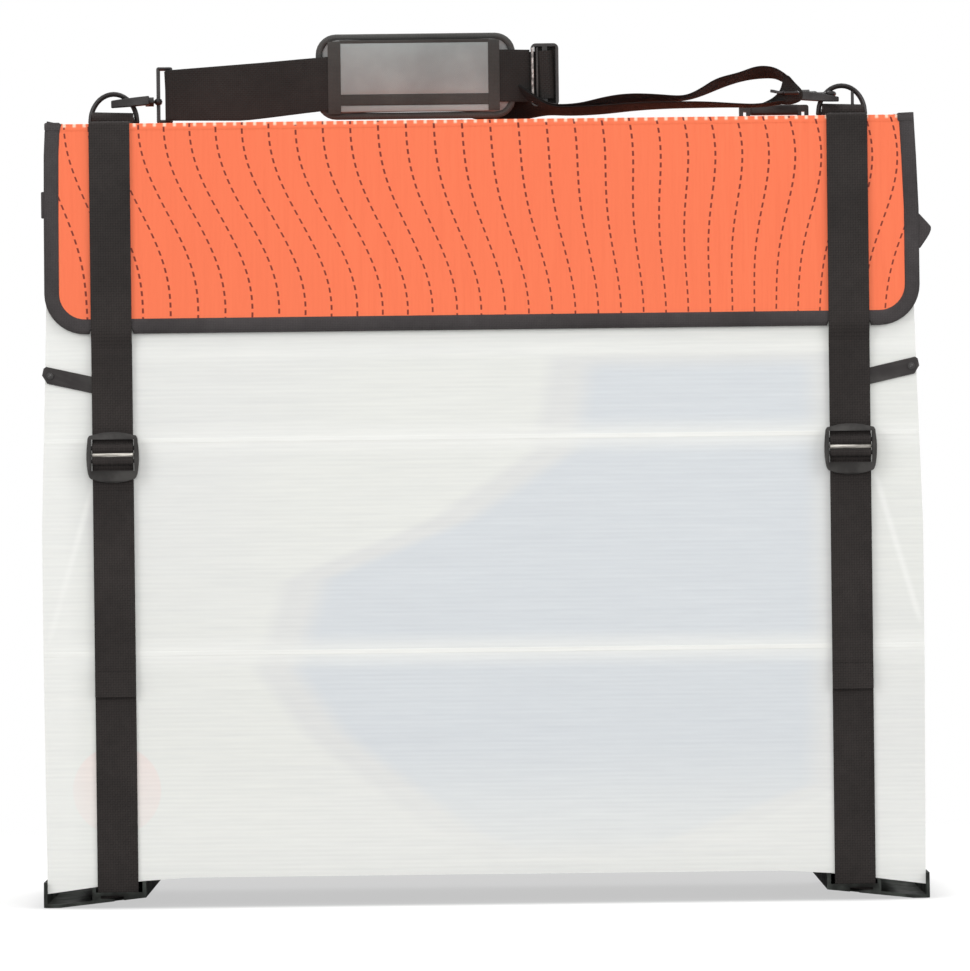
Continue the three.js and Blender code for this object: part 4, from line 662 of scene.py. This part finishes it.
def disc(name, radius, depth, place, turned):
    alone()
    bpy.ops.mesh.primitive_cylinder_add(vertices=28, radius=radius, depth=depth, location=place, rotation=turned)
    made = bpy.context.object
    made.name = name
    bpy.ops.object.transform_apply(location=True, rotation=True, scale=True)
    return made


def stepped(made, chosen, *steps):
    """The chosen faces of a piece are pressed in and out, one step in another."""
    bpy.ops.object.mode_set(mode="EDIT")
    bpy.ops.mesh.select_mode(type="FACE")
    bpy.ops.mesh.select_all(action="DESELECT")
    bpy.ops.object.mode_set(mode="OBJECT")
    for face in made.data.polygons:
        face.select = chosen(face.normal)
    bpy.ops.object.mode_set(mode="EDIT")
    for rim, depth in steps:
        bpy.ops.mesh.inset(thickness=rim, depth=depth)
    bpy.ops.object.mode_set(mode="OBJECT")


# At the lid's ridge the top strap is rolled over on itself, and holds the ring.
roll_y, roll_z, pressed_z = -0.0588, 0.7582, 0.7535
for side, centre_x in (("left", -0.3567), ("right", 0.3517)):
    roll = disc("strap_roll_" + side, 0.0073, 0.0405, (centre_x, roll_y, roll_z), (0, math.radians(90), 0))
    stepped(roll, lambda normal: abs(normal.x) > 0.9, (0.0016, -0.0009), (0.0012, 0.0006))
    for point in roll.data.vertices:
        point.co.z += 0.0007 * math.sin((point.co.x - centre_x) * 210)
        if point.co.z < pressed_z:
            point.co.y = roll_y + (point.co.y - roll_y) * 1.5
    eased(roll, 0.0005, 2)
    settle(roll, strap_finish, "lid_top", "webbing")


# THE MOULDED BLACK PARTS. Ladder-locks, shoes, slider and keeper tabs, in
# black nylon with a fine grain and lighter edges, partly rubbed and partly a
# painted highlight.
grain, taken, given = node_group("moulded_grain", ("Place",), ("Height", "RubAndEdgeHighlight"))
join(grain, given[0], cloud(grain, taken[0], 900.0))
# Lighter edges: partly rubbed wear, partly a painted highlight where the edges turn.
corners = grain.nodes.new("ShaderNodeNewGeometry").outputs["Pointiness"]
join(grain, given[1], times(grain, ramp(grain, corners, 0.5, 0.6),
                            ramp(grain, cloud(grain, taken[0], 60.0, 3.0), 0.3, 0.7, 0.3, 1.0)))


def moulded(name, colour, edge_colour, roughness, gloss=0.2):
    finish, tree, shader = new_finish(name, colour, roughness, gloss=gloss)
    place = object_place(tree)[0]
    height, rub_and_edge_highlight = grouped(tree, grain, place)
    patch = ramp(tree, cloud(tree, place, 22.0, 3.0), 0.3, 0.7)
    dull = blend_colour(tree, patch, colour, tuple(0.82 * c for c in colour))
    painted(tree, shader, blend_colour(tree, rub_and_edge_highlight, dull, edge_colour),
            ramp(tree, patch, 0, 1, roughness - 0.05, roughness + 0.07, smooth=False))
    raised(tree, shader, height, 0.00012, 0.5)
    return finish


lock_finish = moulded("ladder_lock_nylon", (0.02, 0.018, 0.017), (0.06, 0.057, 0.054), 0.42)
give(lock_finish, "ladder_lock_left", "ladder_lock_right")
# The shoes are painted darker than the other nylon parts: painted shade for the dark inside of the trays.
shaded_shoe_finish = moulded("shaded_shoe_nylon", (0.006, 0.005, 0.005), (0.06, 0.066, 0.06), 0.65, gloss=0.05)
give(shaded_shoe_finish, "shoe_left", "shoe_right")
tab_finish = moulded("keeper_tab_nylon", (0.026, 0.022, 0.022), (0.07, 0.066, 0.062), 0.45)
give(tab_finish, "keeper_tab_left", "keeper_tab_right")
slider_finish = moulded("slider_nylon", (0.012, 0.01, 0.01), (0.05, 0.047, 0.045), 0.3)
give(slider_finish, "slider", "lid_handle")

# A pale bar shows in the gap of each ladder-lock, between the two turns of
# webbing. Its pale colour is a painted highlight.
painted_highlight_bar_finish, tree, shader = new_finish("painted_highlight_bar", (0.72, 0.68, 0.62), 0.3, 0.35)
_, x, y, z = object_place(tree)
bar_streaks = cloud(tree, stretched(tree, times(tree, x, 40.0), y, times(tree, z, 700.0)), 1.0)
painted(tree, shader, blend_colour(tree, ramp(tree, bar_streaks, 0.35, 0.65), (0.24, 0.225, 0.2), (0.66, 0.63, 0.57)))
raised(tree, shader, bar_streaks, 0.0001, 0.4)
bar_half = 0.0203
for side, centre_x in (("left", -0.35553), ("right", 0.35047)):
    bar = block("lock_bar_" + side, (centre_x - bar_half, -0.1548, 0.4308), (centre_x + bar_half, -0.1518, 0.4352))
    eased(bar, 0.0012, 4)
    settle(bar, painted_highlight_bar_finish, "lock_" + side, "hardware")

# A dark pressed rivet holds each keeper tab: a thin flange with a rolled dome
# in its middle, set through the tab and the hull sheet.
cap_finish = moulded("dark_rivet", (0.05, 0.047, 0.046), (0.16, 0.155, 0.15), 0.35)
for side, centre_x in (("left", -0.41503), ("right", 0.40997)):
    cap = disc("rivet_cap_" + side, 0.0029, 0.0009, (centre_x, -0.1497, 0.5093), (math.pi / 2, 0, 0))
    stepped(cap, lambda normal: normal.y < -0.9, (0.0009, -0.0001), (0.0003, 0.0004), (0.0007, 0.0002))
    eased(cap, 0.00012, 2)
    settle(cap, cap_finish, "keeper_" + side, "hardware")

# The low handle's bar is wrapped in a thick moulded sleeve.
handle_low, handle_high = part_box("lid_handle")
sleeve = block("handle_sleeve", (0.2640, handle_low.y - 0.0006, 0.7590),
               (0.3122, handle_high.y + 0.0006, handle_high.z + 0.0004))
eased(sleeve, 0.0021, 4)
settle(sleeve, slider_finish, "lid_top", "moulded")


# THE METAL RINGS AND HOOKS. The D-rings are dark plated steel wire, bent and
# welded. The snap hooks are cast, with a sprung gate and an eye for the webbing.
ring_finish, tree, shader = new_finish("dark_plated_steel", (0.02, 0.018, 0.018), 0.3, 0.2, gloss=0.32)
place = object_place(tree)[0]
smear = ramp(tree, cloud(tree, place, 45.0, 4.0), 0.3, 0.75)
painted(tree, shader, blend_colour(tree, smear, (0.026, 0.023, 0.023), (0.01, 0.009, 0.009)),
        ramp(tree, smear, 0, 1, 0.22, 0.42, smooth=False))
raised(tree, shader, cloud(tree, place, 300.0), 0.00006, 0.4)
for side in ("left", "right"):
    give(ring_finish, "d_ring_" + side, "snap_hook_" + side, "hook_gate_" + side, "webbing_eye_" + side)

# The cast side of each snap hook, thick at the swivel and tapered to its nose,
# and the strut that closes the strap side of the right ring.
for side, root_x, nose_x, root_z, nose_z, taper in (
    ("left", -0.3205, -0.3575, 0.7763, 0.7729, 0.2), ("right", 0.3066, 0.3475, 0.7740, 0.7697, 0.5),
):
    cast = block("hook_cast_" + side, (min(root_x, nose_x), -0.0726, -0.0045), (max(root_x, nose_x), -0.0664, 0.0045))
    edited(bpy.ops.mesh.subdivide, number_cuts=5)
    for point in cast.data.vertices:
        share = (point.co.x - root_x) / (nose_x - root_x)
        point.co.z = root_z + (nose_z - root_z) * share + point.co.z * (1 - taper * max(0.0, share) ** 2.2)
        point.co.y += 0.0022 * share * share
    eased(cast, 0.0018, 4)
    settle(cast, ring_finish, "ring_" + side, "hardware")
strut = block("ring_strut_right", (0.3596, -0.0601, 0.7600), (0.3626, -0.0563, 0.7785))
eased(strut, 0.0011, 3)
settle(strut, ring_finish, "ring_right", "hardware")


# THE SHOULDER STRAP. Webbing that runs through a padded sleeve and back
# through its slider. It crosses the lid from one ring to the other.
sling_finish = black_web("sling_webbing", (0.013, 0.0117, 0.0115), (0.029, 0.0265, 0.0245), "x", "z", 0.002, 0.00035)
give(sling_finish, "shoulder_webbing")

# The two strands of webbing that run from behind the pad to the right hook.
# Each turns from upright to nearly flat, and the upper one rises in a hump.
strand_half, strand_thick = 0.022, 0.0018
# The strands are painted darker than the sling webbing they are part of: a shaded copy of it.
shaded_strand_finish = black_web("shaded_strand_webbing", (0.006, 0.0062, 0.0062), (0.015, 0.0152, 0.0152), "x", "y", 0.002, 0.0003)
turning = ((-0.012, 90, -0.0500, 0.7765), (0.005, 87, -0.0500, 0.7765), (0.020, 76, -0.0502, 0.7752),
           (0.035, 56, -0.0515, 0.7718), (0.048, 32, -0.0560, 0.7672))
flat_rows = {
    "lower": ((0.0656, 0.7660, 0.7596), (0.0792, 0.7649, 0.7585), (0.0966, 0.7652, 0.7583), (0.1208, 0.7659, 0.7594),
              (0.1402, 0.7676, 0.7616), (0.1595, 0.7683, 0.7632), (0.1789, 0.7686, 0.7641), (0.1983, 0.7685, 0.7645),
              (0.2176, 0.7681, 0.7646), (0.2341, 0.7669, 0.7648), (0.2515, 0.7656, 0.7647), (0.2660, 0.7648, 0.7645),
              (0.2786, 0.7664, 0.7653), (0.2880, 0.7680, 0.7665), (0.2950, 0.7684, 0.7675)),
    "upper": ((0.0656, 0.7678, 0.7618), (0.0792, 0.7669, 0.7614), (0.0966, 0.7681, 0.7617), (0.1112, 0.7718, 0.7635),
              (0.1277, 0.7755, 0.7662), (0.1451, 0.7771, 0.7686), (0.1625, 0.7765, 0.7697), (0.1790, 0.7751, 0.7706),
              (0.1935, 0.7736, 0.7713), (0.2032, 0.7755, 0.7723), (0.2149, 0.7817, 0.7756), (0.2266, 0.7898, 0.7801),
              (0.2382, 0.7932, 0.7848), (0.2518, 0.7960, 0.7892), (0.2635, 0.8010, 0.7913), (0.2732, 0.8025, 0.7922),
              (0.2829, 0.8012, 0.7925), (0.2890, 0.7985, 0.7915), (0.2950, 0.7943, 0.7885), (0.3000, 0.7900, 0.7850),
              (0.3045, 0.7856, 0.7825)),
}


def thickened(made, thick):
    modified(made, "SOLIDIFY", thickness=thick, offset=0)
    modified(made, "SUBSURF", levels=2, render_levels=2)
    only(made)
    bpy.ops.object.shade_smooth()


for name, offset in (("lower", 0.0), ("upper", 0.0021)):
    rows = []
    for at_x, degrees, mid_y, mid_z in turning:
        lean = math.radians(degrees)
        shift_y, shift_z = offset * math.sin(lean), offset * math.cos(lean)
        reach_y, reach_z = strand_half * math.cos(lean), strand_half * math.sin(lean)
        middle = Vector((at_x, mid_y + shift_y, mid_z + shift_z))
        rows.append((middle + Vector((0, -reach_y, reach_z)), middle + Vector((0, reach_y, -reach_z))))
    for at_x, front_z, back_z in flat_rows[name]:
        rows.append((Vector((at_x, -0.082, front_z)), Vector((at_x, -0.038, back_z))))
    alone()
    bpy.ops.mesh.primitive_grid_add(x_subdivisions=len(rows) - 1, y_subdivisions=4, size=1)
    strand = bpy.context.object
    strand.name = "webbing_strand_" + name
    for point in strand.data.vertices:
        front, back = rows[round((point.co.x + 0.5) * (len(rows) - 1))]
        point.co = front.lerp(back, point.co.y + 0.5)
    thickened(strand, strand_thick)
    settle(strand, shaded_strand_finish, "shoulder_strap", "webbing", "strand_" + name)

# Before the hook the upper strand turns its flat side to the front, passes
# under the hook's eye and fans out over the lower strand.
fan_rows = ((0.2935, 0.7945, 0.2990, 0.7925, -0.0775), (0.2931, 0.7882, 0.3034, 0.7872, -0.0765),
            (0.2914, 0.7819, 0.3088, 0.7821, -0.0752), (0.2893, 0.7773, 0.3128, 0.7778, -0.0742),
            (0.2858, 0.7735, 0.3127, 0.7724, -0.0736), (0.2811, 0.7701, 0.3113, 0.7682, -0.0728),
            (0.2740, 0.7669, 0.3062, 0.7663, -0.0708), (0.2701, 0.7655, 0.3017, 0.7652, -0.0680))
alone()
bpy.ops.mesh.primitive_grid_add(x_subdivisions=6, y_subdivisions=len(fan_rows) - 1, size=1)
fan = bpy.context.object
fan.name = "webbing_fan"
for point in fan.data.vertices:
    left_x, left_z, right_x, right_z, at_y = fan_rows[round((0.5 - point.co.y) * (len(fan_rows) - 1))]
    across = point.co.x + 0.5
    ripple = 0.0014 * math.sin(across * math.pi * 2.2)
    point.co = (left_x + (right_x - left_x) * across, at_y + ripple, left_z + (right_z - left_z) * across)
thickened(fan, 0.0016)
settle(fan, sling_finish, "shoulder_strap", "webbing")

# The plated end of the hook's pin stands out of the fan on its left.
pin_left = 0.2808
pin = block("hook_pin_end", (pin_left, -0.0785, 0.7757), (0.2945, -0.0757, 0.7786))
edited(bpy.ops.mesh.subdivide, number_cuts=4)
for point in pin.data.vertices:
    point.co.z += 0.0008 * math.cos((point.co.x - pin_left) * 330)
eased(pin, 0.0009, 3)
settle(pin, ring_finish, "shoulder_strap", "hardware")

# Webbing that is bunched in the slider, and the slider's two edge bars. The
# outer bar is pale: a painted highlight on the slider's edge.
painted_highlight_rail_finish, tree, shader = new_finish("painted_highlight_rail", (0.3, 0.28, 0.26), 0.35, 0.3)
rail_mottle = cloud(tree, object_place(tree)[0], 240.0, 3.0)
painted(tree, shader, blend_colour(tree, ramp(tree, rail_mottle, 0.35, 0.65), (0.10, 0.09, 0.085), (0.42, 0.39, 0.37)))
raised(tree, shader, rail_mottle, 0.0001, 0.4)
bunch = block("slider_bunch", (0.0530, -0.0590, 0.7680), (0.0740, -0.0566, 0.8262))
eased(bunch, 0.0009, 3)
settle(bunch, sling_finish, "shoulder_strap", "webbing")
for name, at_x in (("outer", 0.0512), ("inner", 0.0556)):
    rail = block("slider_rail_" + name, (at_x - 0.0011, -0.0664, 0.7705), (at_x + 0.0011, -0.0640, 0.8235))
    eased(rail, 0.0008, 3)
    settle(rail, painted_highlight_rail_finish if name == "outer" else slider_finish, "shoulder_strap", "hardware")


# THE SHOULDER PAD. Two layers of grey cloth over foam, with a black tape sewn
# over the rim. On its face a grey window is held by four black tapes, and the
# webbing runs through underneath it.
def swollen(node, name, voxel, thin, cap):
    """A CAD cushion copied, remeshed and blown up a little as cloth, with each
    point held near its start."""
    alone()
    made = part[node].copy()
    made.data = part[node].data.copy()
    made.name = name
    made.data.name = name
    made.parent = None
    for key in list(made.keys()):
        del made[key]
    bpy.context.scene.collection.objects.link(made)
    only(made)
    edited(bpy.ops.mesh.remove_doubles, threshold=0.00002)
    low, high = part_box(node)
    middle = (low + high) / 2
    shrink = Matrix.Diagonal((0.985, thin, 0.985, 1))
    made.data.transform(Matrix.Translation(middle) @ shrink @ Matrix.Translation(-middle))
    modified(made, "REMESH", mode="VOXEL", voxel_size=voxel, use_smooth_shade=True)
    last_frame = 20
    start = [point.co.copy() for point in made.data.vertices]
    cloth = made.modifiers.new("cloth", "CLOTH")
    cloth.settings.use_pressure = True
    cloth.settings.uniform_pressure_force = 4
    cloth.settings.effector_weights.gravity = 0
    cloth.point_cache.frame_start = 1
    cloth.point_cache.frame_end = last_frame
    for frame_number in range(1, last_frame + 1):
        bpy.context.scene.frame_set(frame_number)
    bpy.ops.object.modifier_apply(modifier="cloth")
    bpy.context.scene.frame_set(1)
    for point, old in zip(made.data.vertices, start):
        move = point.co - old
        if move.length > cap:
            point.co = old + move.normalized() * cap
    modified(made, "SMOOTH", factor=0.5, iterations=4)
    modified(made, "SUBSURF", levels=1, render_levels=1)
    only(made)
    bpy.ops.object.shade_smooth()
    return made


pad_low, pad_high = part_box("shoulder_pad")
cover_finish = black_web("pad_grey_cloth", (0.24, 0.24, 0.235), (0.31, 0.305, 0.3), "x", "z", 0.0011, 0.00025)
pad_body = swollen("shoulder_pad", "pad_body", 0.004, 0.52, 0.003)
pad_body.data.transform(Matrix.Translation((0, 0.0008, 0)))
settle(pad_body, cover_finish, "pad", "pad", "shoulder_pad")

# The rim tape: a rounded frame drawn round the pad's outline, then fattened.
rim_finish = black_web("pad_rim_tape", (0.045, 0.044, 0.042), (0.086, 0.085, 0.081), "xz", "y", 0.0014, 0.00025)
rim_half, rim_corner = 0.0034, 0.0165
middle = (pad_low + pad_high) / 2
alone()
bpy.ops.mesh.primitive_plane_add(size=1, location=middle, rotation=(math.radians(90), 0, 0))
rim = bpy.context.object
rim.name = "pad_rim"
rim.scale = (pad_high.x - pad_low.x - 2 * rim_half, pad_high.z - pad_low.z - 2 * rim_half, 1)
bpy.ops.object.transform_apply(location=True, rotation=True, scale=True)
edited(bpy.ops.mesh.bevel, offset=rim_corner, segments=7, affect="VERTICES")
edited(bpy.ops.mesh.delete, type="ONLY_FACE")
rim = tube(rim_half, 3)
to_middle = Matrix.Translation((0, middle.y, 0))
rim.data.transform(to_middle @ Matrix.Diagonal((1, 1.25, 1, 1)) @ to_middle.inverted())
welded()
bpy.ops.object.shade_smooth()
settle(rim, rim_finish, "pad", "pad")

# The window and its tapes lie in front of the body, one over the other.
window_face = pad_low.y + 0.0012
window_finish = black_web("pad_window_cloth", (0.285, 0.312, 0.308), (0.325, 0.354, 0.350), "x", "z", 0.0009, 0.00025)
tape_finish = black_web("pad_tape", (0.034, 0.033, 0.031), (0.068, 0.067, 0.063), "z", "x", 0.0013, 0.00025)


def sewn_panel(name, low_x, high_x, low_z, high_z, front_y, thick, bulge, finish):
    """A flat piece of cloth, divided finely and blown out a little in front."""
    made = block(name, (low_x, front_y, low_z), (high_x, front_y + thick, high_z))
    edited(bpy.ops.mesh.subdivide, number_cuts=9)
    middle_x, middle_z = (low_x + high_x) / 2, (low_z + high_z) / 2
    for point in made.data.vertices:
        across = min(1, abs(point.co.x - middle_x) / (high_x - low_x) * 2)
        up = min(1, abs(point.co.z - middle_z) / (high_z - low_z) * 2)
        point.co.y -= bulge * (1 - across ** 3) * (1 - up ** 3)
        point.co.y += 0.00025 * math.sin(point.co.x * 130 + point.co.z * 60)
    eased(made, thick * 0.35, 2)
    return settle(made, finish, "pad", "pad")


left, right = -0.1353, 0.0087
for name, low_x, high_x, low_z, high_z, lift, thick, bulge, finish in (
    ("window", left, right, 0.7795, 0.8295, 0, 0.0014, 0.0016, window_finish),
    ("lower_strip", left, right, 0.7628, 0.7688, 0.0004, 0.0012, 0.0005, window_finish),
    ("tape_left", left - 0.0118, left + 0.0005, 0.7605, 0.8312, -0.0004, 0.0012, 0.0003, tape_finish),
    ("tape_right", right - 0.0005, right + 0.0104, 0.7628, 0.8318, -0.0004, 0.0012, 0.0003, tape_finish),
    ("tape_below", left - 0.0005, right + 0.0005, 0.7690, 0.7796, -0.0002, 0.0012, 0.0004, tape_finish),
    ("tape_above", left - 0.0005, right + 0.0005, 0.8290, 0.8322, -0.0002, 0.0012, 0.0002, tape_finish),
):
    sewn_panel("pad_" + name, low_x, high_x, low_z, high_z, window_face + lift, thick, bulge, finish)

# The webbing goes into the pad from both sides, with a bend where it enters.
for name, far_x, bend_x, near_x, edges in (
    ("left", -0.3053, -0.212, -0.1415,
     ((-0.3053, 0.7568, 0.8056), (-0.2292, 0.7559, 0.8108), (-0.1415, 0.7650, 0.8168))),
    ("right", 0.0485, 0.0485, 0.013, ((0.0130, 0.7711, 0.8216), (0.0485, 0.7711, 0.8216))),
):
    entry = block("webbing_entry_" + name, (min(far_x, near_x), -0.0001, 0.0), (max(far_x, near_x), 0.0015, 1.0))
    edited(bpy.ops.mesh.subdivide, number_cuts=15)
    for point in entry.data.vertices:
        swing = max(0.0, min(1.0, 1.4 * (point.co.x - bend_x) / (near_x - bend_x)))
        for before, after in zip(edges, edges[1:]):
            share = (point.co.x - before[0]) / (after[0] - before[0])
            if -0.0001 <= share <= 1.0001:
                low_z = before[1] + (after[1] - before[1]) * share
                high_z = before[2] + (after[2] - before[2]) * share
        point.co.z = low_z + (high_z - low_z) * point.co.z
        point.co.y += -0.0622 - 0.0078 * (swing * swing * (3 - 2 * swing))
    eased(entry, 0.0004, 2)
    bend = ("shoulder_strap", "pad", (bend_x, 0, 0), (bend_x + 0.72 * (near_x - bend_x), 0, 0))
    settle(entry, sling_finish, bend, "webbing")


# THE SEAT AND FOOT BRACE. Cushions of black cloth sewn over foam, and a moulded
# brace. They lie folded inside the box and are seen when the lid is open.
seat_finish = black_web("seat_cloth", (0.03, 0.03, 0.032), (0.075, 0.074, 0.078), "x", "z", 0.0022, 0.0004)
for node, name in (("seat_base", "seat_base_cushion"), ("seat_back", "seat_back_cushion")):
    cushion = swollen(node, name, 0.006, 0.8, 0.004)
    settle(cushion, seat_finish, "box", "gear_fabric", node)
brace_finish = moulded("brace_nylon", (0.05, 0.05, 0.052), (0.14, 0.14, 0.14), 0.5)
give(brace_finish, "foot_brace")
